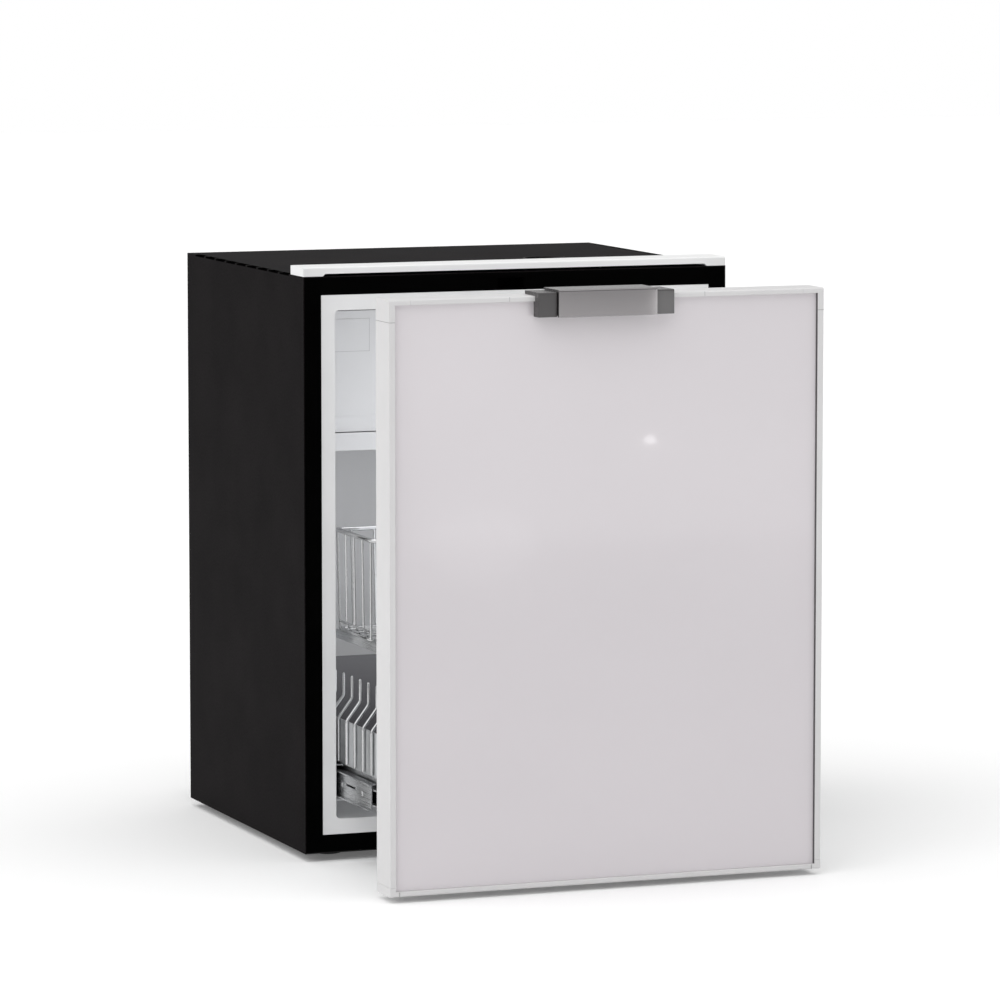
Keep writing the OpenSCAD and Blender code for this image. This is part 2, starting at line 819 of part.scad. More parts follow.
module drawer_side_frames() {
    z0 = rail_z - inner_h / 2;
    upright_d = frame_flange + 1;
    x1 = rail_in;
    x0 = x1 - frame_t;
    color("#aeb1b5") both_sides() {
        along_x(x0, x1) polygon([
            [door_back, z0], [bin_y1, z0], [bin_y1, bin_z], [door_back + upright_d + 3, bin_z],
            [door_back + upright_d, bin_z + 3], [door_back + upright_d, z0 + upright_h],
            [door_back, z0 + upright_h]]);
        difference() {
            block([x0 - frame_flange, door_back, z0], [x0, door_back + frame_t, z0 + upright_h]);
            at_frame_screws() translate([0, 0, -1]) cylinder(h = frame_t + 2, d = frame_screw_d + 0.4);
        }
        block([x0 - frame_flange, bin_y0, bin_z - frame_t], [x0, bin_y1, bin_z]);
    }
}

module frame_screws() {
    color("#8f9296") both_sides() at_frame_screws() {
        cylinder(h = frame_t + 1, d = frame_screw_d);
        translate([0, 0, frame_t]) cylinder(h = 2, d = 2 * frame_screw_d);
    }
}

module bin_tray() {
    hole_pitch = 30;
    color("#b9bcc0") difference() {
        block([-bin_x, bin_y0, bin_z], [bin_x, bin_y1, bin_z + bin_h]);
        block([-bin_x + frame_t, bin_y0 + frame_t, bin_floor],
            [bin_x - frame_t, bin_y1 + 1, bin_z + bin_h + 1]);
        for (i = [1 : floor(bin_len / hole_pitch) - 1], x = [-4 : 2 : 4])
            translate([x * hole_pitch, bin_y0 + hole_pitch * i, bin_z - 1])
                cylinder(h = floor_t + 2, d = 12);
    }
}

module bin_rear_plate() {
    color("#5b5d60") block([-bin_x + frame_t, bin_y1 - floor_t, bin_floor],
        [bin_x - frame_t, bin_y1, bin_z + bin_rear_h]);
}

module bin_side_wires() {
    x = bin_x + finger_d / 2 + 0.05;
    bend_h = 18.5;
    bend_z = bin_z + bin_h + 1;
    first = bin_y1 - finger_end;
    count = floor((bin_len - 2 * finger_end) / finger_pitch) + 1;
    color("#dfe2e5") both_sides() for (i = [0 : count - 1]) {
        y = first - i * finger_pitch;
        tip = [x - finger_step, y, bin_z + finger_h - finger_d / 2];
        bent_rod([[x, y, bin_z + 1], [x, y, bend_z], [x - finger_step, y, bend_z + bend_h], tip],
            finger_d);
        knuckle(tip, finger_d);
    }
}

module upper_rails() {
    rail_top = upper_z + upper_rail_h;
    band_t = 2.5;
    lug_t = 2;
    lug_gap = base_rod_d / 2 + 0.5;
    color("#c9ccd0") both_sides() {
        block([rail_in, door_back + frame_t, upper_z], [rail_in + band_t, bin_y1, rail_top]);
        for (y = [base_front - lug_gap - lug_t, base_back + lug_gap])
            block([rail_in, y, rail_top - 1], [rail_in + band_t, y + lug_t, rail_top + base_rod_d]);
    }
}

module rear_posts() {
    post_d = finger_pitch / 2;
    y1 = bin_y1 - finger_end - (finger_pitch - post_d) / 2;
    y0 = y1 - post_d;
    color("#b4b7ba") both_sides() {
        block([rail_in - frame_t, y0, bin_floor], [rail_in, y1, upper_z + upper_rail_h]);
        block([rail_in - 14, y0, bin_floor], [rail_in - frame_t, y1, bin_floor + frame_t]);
    }
}

// A rectangle of rod with ball corners
module rod_loop(x, y0, y1, z, d) {
    bent_rod([[-x, y0, z], [x, y0, z], [x, y1, z], [-x, y1, z], [-x, y0, z], [-x, y0 + 1, z]], d);
}

module upper_basket() {
    corner = 6;
    side_count = floor((basket_len - corner) / wire_pitch);
    end_x = basket_x - 15;
    across = round(2 * end_x / wire_pitch);
    cross_pitch = 2 * end_x / across;
    low_z = basket_z0 + base_rod_d / 2 + wire_d / 2 - 0.4;
    floor_count = floor((base_back - base_front) / (wire_pitch / 2));
    color("#e4e6e9") {
        rod_loop(basket_x, basket_y0, basket_y1, basket_z1, rim_d);
        rod_loop(base_x, base_front, base_back, basket_z0, base_rod_d);
        for (s = [-1, 1]) {
            for (i = [0 : side_count]) {
                y = basket_y0 + corner + i * wire_pitch;
                yb = min(max(y, base_front), base_back);
                rod([s * base_x, yb, basket_z0], [s * basket_x, y, basket_z1], wire_d);
            }
            rod([s * base_x, base_front, basket_z0 + 7.5], [s * base_x, base_back, basket_z0 + 7.5],
                wire_d);
        }
        for (i = [0 : across]) {
            x = -end_x + i * cross_pitch;
            rod([x, base_front, basket_z0], [x, basket_y0, basket_z1], wire_d);
            rod([x, base_back, basket_z0], [x, basket_y1, basket_z1], wire_d);
        }
        for (i = [1 : floor_count - 1]) {
            y = base_front + i * wire_pitch / 2;
            rod([-base_x, y, low_z], [base_x, y, low_z], wire_d);
        }
    }
}

module basket_divider() {
    x = divider_x;
    z1 = basket_z1 + rim_d / 2 + base_rod_d / 2;
    z0 = basket_z0 + base_rod_d / 2 + wire_d + 1;
    mid_z = z0 + basket_h * 0.42;
    inset = 17.5;
    first = basket_y0 + inset;
    last = basket_y1 - inset;
    count = round((last - first) / wire_pitch);
    color("#e4e6e9") {
        rod([x, basket_y0 - 1, z1], [x, basket_y1 + 1, z1], base_rod_d);
        for (i = [0 : count]) {
            y = first + i * (last - first) / count;
            rod([x, y, z0], [x, y, z1], wire_d);
        }
        rod([x, first - 5, mid_z], [x, last + 5, mid_z], wire_d);
    }
}

module latch_notch() {
    block([latch_x - notch_w / 2, notch_y, notch_z],
        [latch_x + notch_w / 2, door_back + 1, door_z1 + 1]);
}

module front_panel() {
    color("#cdcacc") block([-panel_x, panel_front, panel_z0], [panel_x, panel_back, panel_z1]);
}

// Outline of a profile from the side: front and back top edges are rounded
module profile_side(z_in, z_out) {
    low = min(z_in, z_out);
    high = max(z_in, z_out);
    difference() {
        translate([door_front, low]) square([door_t, high - low]);
        for (y = [door_front, door_back]) {
            s = y == door_front ? 1 : -1;
            t = z_out > z_in ? -1 : 1;
            difference() {
                translate([y + s * profile_r / 2, z_out + t * profile_r / 2])
                    square([profile_r, profile_r], center = true);
                translate([y + s * profile_r, z_out + t * profile_r]) circle(profile_r);
            }
        }
    }
}

module top_profile() {
    x = door_x - corner_top;
    color("#eeeeee") difference() {
        along_x(-x, x) profile_side(panel_z1, door_z1);
        latch_notch();
    }
}

module bottom_profile() {
    x = door_x - corner_low;
    color("#dcdcdc") along_x(-x, x) profile_side(panel_z0, door_z0);
}

module side_profiles() {
    color("#e2e2e2") both_sides()
        block([panel_x, door_front, door_z0 + corner_low], [door_x, door_back, door_z1 - corner_top]);
}

module corner_pieces() {
    color("#e0e0e0") both_sides() {
        along_x(door_x - corner_top, door_x) profile_side(panel_z1, door_z1);
        block([panel_x, door_front, door_z1 - corner_top], [door_x, door_back, panel_z1]);
        along_x(door_x - corner_low, door_x) profile_side(panel_z0, door_z0);
        block([panel_x, door_front, panel_z0], [door_x, door_back, door_z0 + corner_low]);
    }
}

module front_insulation() {
    color("#e6d9a8") difference() {
        block([-panel_x, panel_back, panel_z0], [panel_x, door_back - skin_t, panel_z1]);
        latch_notch();
    }
}

module front_inner_skin() {
    plinth_x = rail_in - frame_t - 30;
    plinth_t = 4;
    color("#dcdddf") difference() {
        union() {
            block([-panel_x, door_back - skin_t, panel_z0], [panel_x, door_back, panel_z1]);
            along_y(door_back, door_back + plinth_t)
                soft_rect([-plinth_x, in_z0 + 24], [plinth_x, in_z1 - 30], 10);
        }
        latch_notch();
    }
}

// Outline of the gasket's ring, a width and an offset from its inner edge
module gasket_ring(inset, width) {
    x = in_x + 4 + inset;
    z0 = in_z0 - inset;
    z1 = in_z1 + inset;
    difference() {
        soft_rect([-x - width, z0 - width], [x + width, z1 + width], 8);
        soft_rect([-x, z0], [x, z1], 6);
    }
}

module door_gasket() {
    bead = 2;
    color("#d9dadc") {
        along_y(door_back, door_back + 3) gasket_ring(0, gasket_w);
        along_y(door_back + 3, door_back + seal_gap - 0.3)
            gasket_ring(bead, gasket_w - 2 * bead);
    }
}

module latch_caps() {
    half = bar_l / 2 + latch_gap;
    bore_d = latch_pin_d + 2 * pin_fit;
    color("#4f4b4c") difference() {
        union() {
            for (s = [-1, 1]) translate([latch_x + s * (half + cap_l / 2), 0, 0])
                along_x(-cap_l / 2, cap_l / 2) difference() {
                    union() {
                        translate([cap_front, cap_z0]) square([cap_out, cap_h]);
                        translate([cap_front, door_z1]) square([cap_depth, cap_plate]);
                        translate([door_front, cap_z0]) square([panel_recess, panel_z1 - cap_z0]);
                    }
                    difference() {
                        translate([cap_front, cap_top - 1.5]) square([1.5, 1.5]);
                        translate([cap_front + 1.5, cap_top - 1.5]) circle(1.5);
                    }
                }
            block([latch_x - half, door_front, door_z1], [latch_x + half, notch_y, door_z1 + base_t]);
        }
        along_x_round([latch_x - half - cap_l + 6, pivot_y, pivot_z], latch_x + half + cap_l - 6, bore_d);
    }
}

module latch_bar() {
    half = bar_l / 2;
    cheek_t = 2;
    cheek_z = door_z1 + base_t + latch_gap;
    pin_l = 8;
    color("#9c9a9c") translate([latch_x, 0, 0]) {
        along_x(-half, half) difference() {
            union() {
                translate([bar_front, cap_z0 - 0.3]) square([bar_t + 1, bar_top - cap_z0 + 0.3]);
                translate([bar_front, bar_under]) square([cap_back - bar_front, bar_t]);
            }
            difference() {
                translate([bar_front, bar_top - 1.8]) square([1.8, 1.8]);
                translate([bar_front + 1.8, bar_top - 1.8]) circle(1.8);
            }
        }
        for (s = [-1, 1]) translate([s * (half - cheek_t / 2), 0, 0])
            along_x(-cheek_t / 2, cheek_t / 2) union() {
                translate([bar_front + bar_t, cap_z0 + 1])
                    square([door_front - bar_front - bar_t - 1, bar_under - cap_z0]);
                translate([door_front - 1.5, cheek_z])
                    square([pivot_y - door_front + 3, bar_under - cheek_z]);
            }
        for (s = [-1, 1])
            along_x_round([s > 0 ? half - 1 : -half - pin_l, pivot_y, pivot_z],
                s > 0 ? half + pin_l : -half + 1, latch_pin_d);
    }
}

module latch_hook() {
    color("#a8abaf") along_x(latch_x - hook_w / 2, latch_x + hook_w / 2) polygon([
        [pivot_y - 5, bar_under], [pivot_y - 5, door_z1 + 0.4], [pivot_y - 2, tongue_z],
        [tongue_end - 1.5, tongue_z], [tongue_end, tongue_z + 1.5],
        [tongue_end, tongue_top], [tongue_end - 2, tongue_top + tooth_h],
        [tongue_end - tooth_l, tongue_top + tooth_h], [tongue_end - tooth_l, tongue_top],
        [pivot_y + 7, tongue_top], [pivot_y + 3.5, door_z1 + 0.8], [pivot_y + 3.5, bar_under]]);
}

// A ring of points round a helix whose radius narrows on the way up
function spring_ring(a, turns, r0, r1, h, wire_r, sides) =
    let (t = a / (360 * turns), r = r0 + (r1 - r0) * t, z = wire_r + (h - 2 * wire_r) * t)
    [for (k = [0 : sides - 1]) let (b = 360 * k / sides)
        [(r + wire_r * cos(b)) * cos(a), (r + wire_r * cos(b)) * sin(a), z + wire_r * sin(b)]];

module latch_spring() {
    turns = 3;
    steps = 24 * turns;
    sides = 6;
    wire_r = 0.4;
    r0 = 4;
    r1 = 2.6;
    h = tongue_z - notch_z - 0.1;
    least_gap = (h - 2 * wire_r) / turns - 2 * wire_r;
    echo(latch_spring_least_gap = least_gap);
    points = [for (i = [0 : steps])
        each spring_ring(i * 360 * turns / steps, turns, r0, r1, h, wire_r, sides)];
    walls = [for (i = [0 : steps - 1], k = [0 : sides - 1])
        let (a = i * sides + k, b = i * sides + (k + 1) % sides)
        each [[a, a + sides, b], [b, a + sides, b + sides]]];
    first = [for (k = [1 : sides - 2]) [0, k, k + 1]];
    last = [for (k = [1 : sides - 2]) [steps * sides, steps * sides + k + 1, steps * sides + k]];
    color("#8f9296") translate([latch_x, door_back - 8, notch_z])
        polyhedron(points, concat(walls, first, last));
}

// Places of the screws that hold the cooling unit's tray to the cabinet
module at_tray_screws() {
    for (x = [tray_back_h / 2 - unit_w / 2, 0, unit_w / 2 - tray_back_h / 2])
        translate([x, back_y, unit_z + tray_back_h * 0.7]) rotate([-90, 0, 0]) children();
}

module unit_tray() {
    rim = 12;
    slot_pitch = (cond_x1 - 10) / 6.5;
    color("#1c1c1e") difference() {
        union() {
            block([-unit_w / 2, back_y, unit_z], [unit_w / 2, unit_back, unit_top]);
            block([-unit_w / 2, back_y, unit_z], [unit_w / 2, back_y + unit_t, unit_z + tray_back_h]);
            block([-unit_w / 2, unit_back - unit_t, unit_z], [unit_w / 2, unit_back, unit_z + rim]);
            both_sides() along_x(unit_w / 2 - unit_t, unit_w / 2) polygon([
                [back_y, unit_z], [unit_back, unit_z], [unit_back, unit_z + rim],
                [back_y + tray_back_h / 2, unit_z + tray_back_h], [back_y, unit_z + tray_back_h]]);
        }
        for (x = [-1, 1], y = [-1, 1])
            translate([comp_x + x * comp_bolt, comp_y + y * comp_bolt, unit_z - 1])
                cylinder(h = unit_t + 2, d = 5);
        at_tray_screws() translate([0, 0, -1]) cylinder(h = unit_t + 2, d = tray_screw_d + 0.4);
        for (i = [0 : 5]) block([10 + i * slot_pitch, cond_y, unit_z - 1],
            [10 + i * slot_pitch + slot_pitch * 0.6, cond_y + cond_d + 15, unit_top + 1]);
    }
}

module compressor() {
    seam = comp_z + comp_h * 0.62;
    dome = 16;
    color("#17181a") {
        translate([comp_x, comp_y, 0]) rotate_extrude() union() {
            translate([0, comp_z + dome]) square([comp_d / 2, comp_h - 2 * dome]);
            translate([0, comp_z]) square([comp_d / 2 - dome, comp_h]);
            for (z = [comp_z + dome, comp_top - dome])
                translate([comp_d / 2 - dome, z]) intersection() {
                    circle(dome);
                    translate([0, -dome]) square([dome, 2 * dome]);
                }
            translate([0, seam]) square([comp_d / 2 + 2, 4]);
        }
        difference() {
            translate([comp_x - comp_d / 2, comp_y - comp_d / 2, comp_foot])
                cube([comp_d, comp_d, foot_plate + 0.5]);
            for (x = [-1, 1], y = [-1, 1])
                translate([comp_x + x * comp_bolt, comp_y + y * comp_bolt, comp_foot - 1])
                    cylinder(h = 5, d = 6);
        }
        translate([comp_x - 12, comp_y, comp_top - 10]) cylinder(h = 18, d = 9);
    }
}

module compressor_grommets() {
    color("#2a2a2a") for (x = [-1, 1], y = [-1, 1])
        translate([comp_x + x * comp_bolt, comp_y + y * comp_bolt, unit_top]) {
            cylinder(h = grommet_h, d = 16);
            translate([0, 0, grommet_h]) cylinder(h = foot_plate + 0.5, d = 5.8);
            translate([0, 0, grommet_h + foot_plate + 0.5]) cylinder(h = 3, d = 9);
        }
}

module control_box() {
    depth = 34;
    height = 62;
    color("#222326") {
        difference() {
            translate([box_x0, back_y, box_z]) cube([box_w, depth, height]);
            for (i = [0 : 6])
                block([box_x0 + 10 + 12 * i, back_y + depth - 3, box_z + 8],
                    [box_x0 + 16 + 12 * i, back_y + depth + 1, box_z + height - 8]);
        }
        translate([box_x0 - 6, back_y, box_z + height / 2 - 8]) cube([6, 4, 16]);
        translate([box_x0 + box_w, back_y, box_z + height / 2 - 8]) cube([6, 4, 16]);
    }
}

module terminal_block() {
    x0 = box_x0 + box_w + 20;
    z0 = box_z + 6;
    width = 18;
    depth = 16;
    pitch = 12;
    color("#0e3f86") difference() {
        translate([x0, back_y, z0]) cube([width, depth, 4 * pitch + 2]);
        for (i = [0 : 3])
            along_y_round([x0 + width / 2, back_y + depth / 2, z0 + 7 + pitch * i],
                back_y + depth + 1, 6);
    }
}

module condenser_tube() {
    color("#8a5a3c") {
        for (i = [0 : cond_rows - 1])
            along_x_round([tube_x0, cond_mid, cond_z + cond_pitch * (i + 0.5)], tube_x1, tube_d);
        for (i = [0 : cond_rows - 2]) {
            right = i % 2 == 0;
            translate([right ? tube_x1 : tube_x0, cond_mid, cond_z + cond_pitch * (i + 1)])
                rotate([90, right ? 90 : -90, 0]) rotate_extrude(angle = 180)
                    translate([cond_pitch / 2, 0]) circle(d = tube_d);
        }
    }
}

// The holes of one fin, in the YZ plane
module fin_outline(grow) {
    difference() {
        translate([cond_y, cond_z - grow]) square([cond_d, cond_h + grow]);
        for (i = [0 : cond_rows - 1])
            translate([cond_mid, cond_z + cond_pitch * (i + 0.5)]) circle(d = tube_d + 0.1);
    }
}

module condenser_fins() {
    count = floor((shroud_x1 - shroud_x0 - 2 * end_t) / fin_pitch);
    color("#a7abaf") {
        for (i = [1 : count])
            along_x(shroud_x0 + i * fin_pitch, shroud_x0 + i * fin_pitch + fin_t) fin_outline(0);
        along_x(shroud_x0, shroud_x0 + end_t) fin_outline(cond_z - unit_top);
        along_x(shroud_x1 - end_t, shroud_x1) fin_outline(cond_z - unit_top);
    }
}

module fan_shroud() {
    color("#1a1a1c") difference() {
        union() {
            block([shroud_x0, shroud_y, cond_z], [shroud_x1, fan_y, cond_z + cond_h]);
            along_y(fan_y - 1, guard_y) translate([fan_x - fan_s / 2, fan_z - fan_s / 2])
                soft_rect([0, 0], [fan_s, fan_s], 5);
        }
        along_y_round([fan_x, shroud_y - 1, fan_z], guard_y + 1, fan_hole);
        for (x = [-1, 1], z = [-1, 1])
            along_y_round([fan_x + x * fan_screw, fan_y + 1, fan_z + z * fan_screw],
                guard_y + 1, 4);
    }
}

module fan_motor() {
    y0 = guard_y - motor_l;
    color("#202124") {
        along_y_round([fan_x, y0, fan_z], guard_y, hub_d);
        for (a = [45 : 90 : 315]) translate([fan_x, guard_y - 4, fan_z]) rotate([0, a, 0])
            translate([hub_d / 2 - 4, 0, -2]) cube([(fan_hole - hub_d) / 2 + 3.9, 3, 4]);
        along_y_round([fan_x, y0 - rotor_gap - rotor_l + 2, fan_z], y0, shaft_d);
    }
}

module fan_rotor() {
    tip = fan_hole / 2 - 1.5;
    bore_d = shaft_d + 2 * pin_fit;
    color("#2b2c30") translate([fan_x, rotor_y, fan_z]) rotate([-90, 0, 0]) difference() {
        union() {
            cylinder(h = rotor_l, d = hub_d);
            intersection() {
                cylinder(h = rotor_l, r = tip);
                for (i = [0 : blades - 1]) rotate([0, 0, 360 * i / blades])
                    translate([0, 0, rotor_l / 2]) rotate([40, 0, 0])
                        translate([hub_d / 2 - 2, -8, -0.9]) cube([tip, 16, 1.8]);
            }
        }
        translate([0, 0, 1.6]) cylinder(h = rotor_l, d = bore_d);
    }
}

module fan_guard() {
    wire = 1.6;
    first_r = 14;
    ring_pitch = 9;
    eye = fan_screw * sqrt(2);
    color("#3a3b3e") translate([fan_x, guard_y, fan_z]) rotate([-90, 0, 0]) {
        for (r = [first_r : ring_pitch : fan_hole / 2]) difference() {
            cylinder(h = wire, r = r + wire / 2);
            translate([0, 0, -1]) cylinder(h = wire + 2, r = r - wire / 2);
        }
        for (a = [45 : 90 : 315]) rotate([0, 0, a]) {
            translate([first_r, -wire / 2, 0]) cube([eye - first_r, wire, wire]);
            translate([eye, 0, 0]) cylinder(h = wire, d = 8);
        }
    }
}

module filter_drier() {
    neck = pipe_d / 2;
    shell_r = pipe_d * 1.7;
    cone = pipe_d * 2;
    color("#b87a4a") translate([drier_x, drier_y, drier_z]) rotate_extrude() polygon([
        [0, 0], [neck, 0], [shell_r, cone], [shell_r, drier_h - cone], [neck, drier_h], [0, drier_h]]);
}

module refrigerant_pipes() {
    high = comp_top + 12;
    wall_y = back_y + 14;
    enter_z = box_z + 82;
    capillary_z = enter_z + 12;
    riser_x = box_x0 + box_w + 12;
    tube_low = cond_z + cond_pitch / 2;
    tube_high = cond_z + cond_h - cond_pitch / 2;
    color("#b87a4a") {
        bent_rod([[comp_x + 16, comp_y, comp_top], [comp_x + 16, comp_y, high],
            [cond_x0 - 4, comp_y, high], [cond_x0 - 4, cond_mid, tube_high],
            [tube_x0, cond_mid, tube_high]], pipe_d);
        bent_rod([[comp_x - 2, comp_y - 20, comp_top], [comp_x - 2, comp_y - 20, high],
            [comp_x - 2, wall_y, high], [riser_x, wall_y, high],
            [riser_x, wall_y, enter_z], [riser_x, back_y, enter_z]], suction_d);
        bent_rod([[tube_x0, cond_mid, tube_low], [drier_x, drier_y, tube_low],
            [drier_x, drier_y, drier_z]], pipe_d);
        bent_rod([[drier_x, drier_y, drier_z + drier_h], [drier_x, drier_y, capillary_z],
            [drier_x, back_y, capillary_z]], capillary_d);
    }
}

module unit_screws() {
    color("#8f9296") {
        at_tray_screws() {
            cylinder(h = unit_t + 1, d = tray_screw_d);
            translate([0, 0, unit_t]) cylinder(h = 3, d = 9);
        }
        for (x = [box_x0 - 3, box_x0 + box_w + 3])
            translate([x, back_y + 4, box_z + 31]) rotate([-90, 0, 0]) cylinder(h = 2, d = 5);
    }
}

outer_case();
base_plate();
rear_panel();
front_border();
cabinet_insulation();
inner_liner();
top_trim_bar();
top_recess_cup();
rubber_feet();
latch_keeper();
evaporator();
freezer_frame();
freezer_flap();
drip_tray();
thermostat_housing();
thermostat_knob();
lamp_lens();
runner_cabinet_members();
runner_screws();
runner_middle_left();
runner_middle_right();
runner_balls_left();
runner_balls_right();
runner_drawer_members();
drawer_side_frames();
bin_tray();
bin_side_wires();
bin_rear_plate();
upper_rails();
rear_posts();
upper_basket();
basket_divider();
front_panel();
top_profile();
bottom_profile();
side_profiles();
corner_pieces();
front_insulation();
front_inner_skin();
door_gasket();
frame_screws();
latch_caps();
latch_bar();
latch_hook();
latch_spring();
unit_tray();
compressor();
compressor_grommets();
control_box();
terminal_block();
condenser_tube();
condenser_fins();
fan_shroud();
fan_motor();
fan_rotor();
fan_guard();
filter_drier();
refrigerant_pipes();
unit_screws();
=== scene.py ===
import bpy
import bmesh
import math
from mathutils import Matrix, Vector


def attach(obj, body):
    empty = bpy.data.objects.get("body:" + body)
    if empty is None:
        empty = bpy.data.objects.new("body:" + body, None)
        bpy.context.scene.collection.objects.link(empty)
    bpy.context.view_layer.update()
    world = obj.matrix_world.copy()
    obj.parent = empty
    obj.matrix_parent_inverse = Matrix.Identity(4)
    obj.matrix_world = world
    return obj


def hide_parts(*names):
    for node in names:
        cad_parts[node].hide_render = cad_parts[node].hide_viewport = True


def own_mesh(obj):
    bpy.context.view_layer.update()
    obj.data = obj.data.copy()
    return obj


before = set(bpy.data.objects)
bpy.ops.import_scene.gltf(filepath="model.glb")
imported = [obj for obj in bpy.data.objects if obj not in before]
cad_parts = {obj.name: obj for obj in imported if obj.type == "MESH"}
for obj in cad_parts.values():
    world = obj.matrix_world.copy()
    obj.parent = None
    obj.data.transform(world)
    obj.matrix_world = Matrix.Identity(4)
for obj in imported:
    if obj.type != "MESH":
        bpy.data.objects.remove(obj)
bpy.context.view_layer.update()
scene = bpy.context.scene
MM = 0.001
X_AXIS, Y_AXIS, Z_AXIS = Vector((1, 0, 0)), Vector((0, 1, 0)), Vector((0, 0, 1))


class Box:
    """The box of a CAD node, in millimetres. The pieces below take their sizes and places from these."""

    def __init__(self, name):
        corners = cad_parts[name].bound_box
        self.x0, self.y0, self.z0 = (round(min(c[i] for c in corners) / MM, 2) for i in range(3))
        self.x1, self.y1, self.z1 = (round(max(c[i] for c in corners) / MM, 2) for i in range(3))
        self.x_mid, self.y_mid, self.z_mid = ((self.x0 + self.x1) / 2, (self.y0 + self.y1) / 2,
                                              (self.z0 + self.z1) / 2)


CASE = Box("outer_case")
DOOR = Box("corner_pieces")
PANEL = Box("front_panel")
SHROUD = Box("fan_shroud")


# Camera of the photograph, solved from the edges of the cabinet and of the drawer front
CAMERA_PLACE = (-2.0033, -5.3609, 0.9708)
CAMERA_YAW, CAMERA_PITCH = 20.97, 6.428
CAMERA_LENS = 205.97


def add_camera():
    data = bpy.data.cameras.new("camera")
    data.lens = CAMERA_LENS
    data.sensor_width = 36
    data.clip_start = 0.1
    data.clip_end = 60
    camera = bpy.data.objects.new("camera", data)
    camera.location = CAMERA_PLACE
    camera.rotation_euler = (math.pi / 2 - math.radians(CAMERA_PITCH), 0, -math.radians(CAMERA_YAW))
    scene.collection.objects.link(camera)
    scene.camera = camera


add_camera()


# Small kit for materials; their sizes and depths are in millimetres
class Shade:
    """A Principled surface in the making. Its patterns lie in the object's own space."""

    def __init__(self, name, rough, metal=0.0, specular=0.5):
        self.material = bpy.data.materials.new(name)
        self.material.use_nodes = True
        self.tree = self.material.node_tree
        self.tree.nodes.clear()
        out = self.tree.nodes.new("ShaderNodeOutputMaterial")
        self.bsdf = self.tree.nodes.new("ShaderNodeBsdfPrincipled")
        self.link(self.bsdf.outputs["BSDF"], out.inputs["Surface"])
        self.put("Roughness", rough)
        self.put("Metallic", metal)
        self.put("Specular IOR Level", specular)
        self.coord = self.tree.nodes.new("ShaderNodeTexCoord").outputs["Object"]

    def put(self, name, value):
        self.bsdf.inputs[name].default_value = value

    def link(self, a, b):
        self.tree.links.new(a, b)

    def scaled(self, size):
        """The coordinates, divided by one size or by a size along each axis."""
        if isinstance(size, (int, float)):
            size = (size, size, size)
        node = self.tree.nodes.new("ShaderNodeMapping")
        node.inputs["Scale"].default_value = [1 / (s * MM) for s in size]
        self.link(self.coord, node.inputs["Vector"])
        return node.outputs["Vector"]

    def noise(self, size, detail=2.0, rough=0.5):
        node = self.tree.nodes.new("ShaderNodeTexNoise")
        node.inputs["Scale"].default_value = 1.0
        node.inputs["Detail"].default_value = detail
        node.inputs["Roughness"].default_value = rough
        self.link(self.scaled(size), node.inputs["Vector"])
        return node.outputs["Fac"]

    def cells(self, size):
        node = self.tree.nodes.new("ShaderNodeTexVoronoi")
        node.inputs["Scale"].default_value = 1.0
        self.link(self.scaled(size), node.inputs["Vector"])
        return node.outputs["Distance"]

    def bands(self, size):
        """Even bands across the Y axis."""
        node = self.tree.nodes.new("ShaderNodeTexWave")
        node.wave_type = "BANDS"
        node.bands_direction = "Y"
        node.inputs["Scale"].default_value = 1.0
        node.inputs["Distortion"].default_value = 0.0
        self.link(self.scaled(size), node.inputs["Vector"])
        return node.outputs["Fac"]

    def blend(self, a, b, share):
        """Mixes two patterns; share is how much of the second there is."""
        node = self.tree.nodes.new("ShaderNodeMix")
        node.data_type = "FLOAT"
        node.inputs["Factor"].default_value = share
        self.link(a, node.inputs["A"])
        self.link(b, node.inputs["B"])
        return node.outputs["Result"]

    def stretch(self, fac, low, high, from_low=0.3, from_high=0.7):
        node = self.tree.nodes.new("ShaderNodeMapRange")
        node.inputs["From Min"].default_value = from_low
        node.inputs["From Max"].default_value = from_high
        node.inputs["To Min"].default_value = low
        node.inputs["To Max"].default_value = high
        self.link(fac, node.inputs["Value"])
        return node.outputs["Result"]

    def colour(self, fac, a, b, low=0.3, high=0.7):
        node = self.tree.nodes.new("ShaderNodeValToRGB")
        first, last = node.color_ramp.elements
        first.position, first.color = low, (*a, 1)
        last.position, last.color = high, (*b, 1)
        self.link(fac, node.inputs["Fac"])
        self.link(node.outputs["Color"], self.bsdf.inputs["Base Color"])

    def roughness(self, fac, low, high):
        self.link(self.stretch(fac, low, high), self.bsdf.inputs["Roughness"])

    def bump(self, height, depth, strength=1.0, after=None):
        node = self.tree.nodes.new("ShaderNodeBump")
        node.inputs["Distance"].default_value = depth * MM
        node.inputs["Strength"].default_value = strength
        self.link(height, node.inputs["Height"])
        if after is not None:
            self.link(after, node.inputs["Normal"])
        self.link(node.outputs["Normal"], self.bsdf.inputs["Normal"])

    def round_edges(self, radius):
        node = self.tree.nodes.new("ShaderNodeBevel")
        node.samples = 4
        node.inputs["Radius"].default_value = radius * MM
        return node.outputs["Normal"]


def tinted(v, tint):
    return tuple(v * t for t in tint)


CLOUD_SIZE = 40


def painted(name, base, spread, rough, grain, depth, tint=(1, 1, 1), edge=None, specular=0.5):
    """Paint or moulded plastic: a slow drift of colour, and a fine grain in the surface."""
    s = Shade(name, rough, specular=specular)
    low, high = tinted(base * (1 - spread), tint), tinted(base * (1 + spread), tint)
    s.colour(s.noise(CLOUD_SIZE, 3), low, high)
    fine = s.noise(grain, 2, 0.6)
    s.roughness(fine, rough * 0.9, min(1, rough * 1.12))
    s.bump(fine, depth, after=s.round_edges(edge) if edge else None)
    return s.material


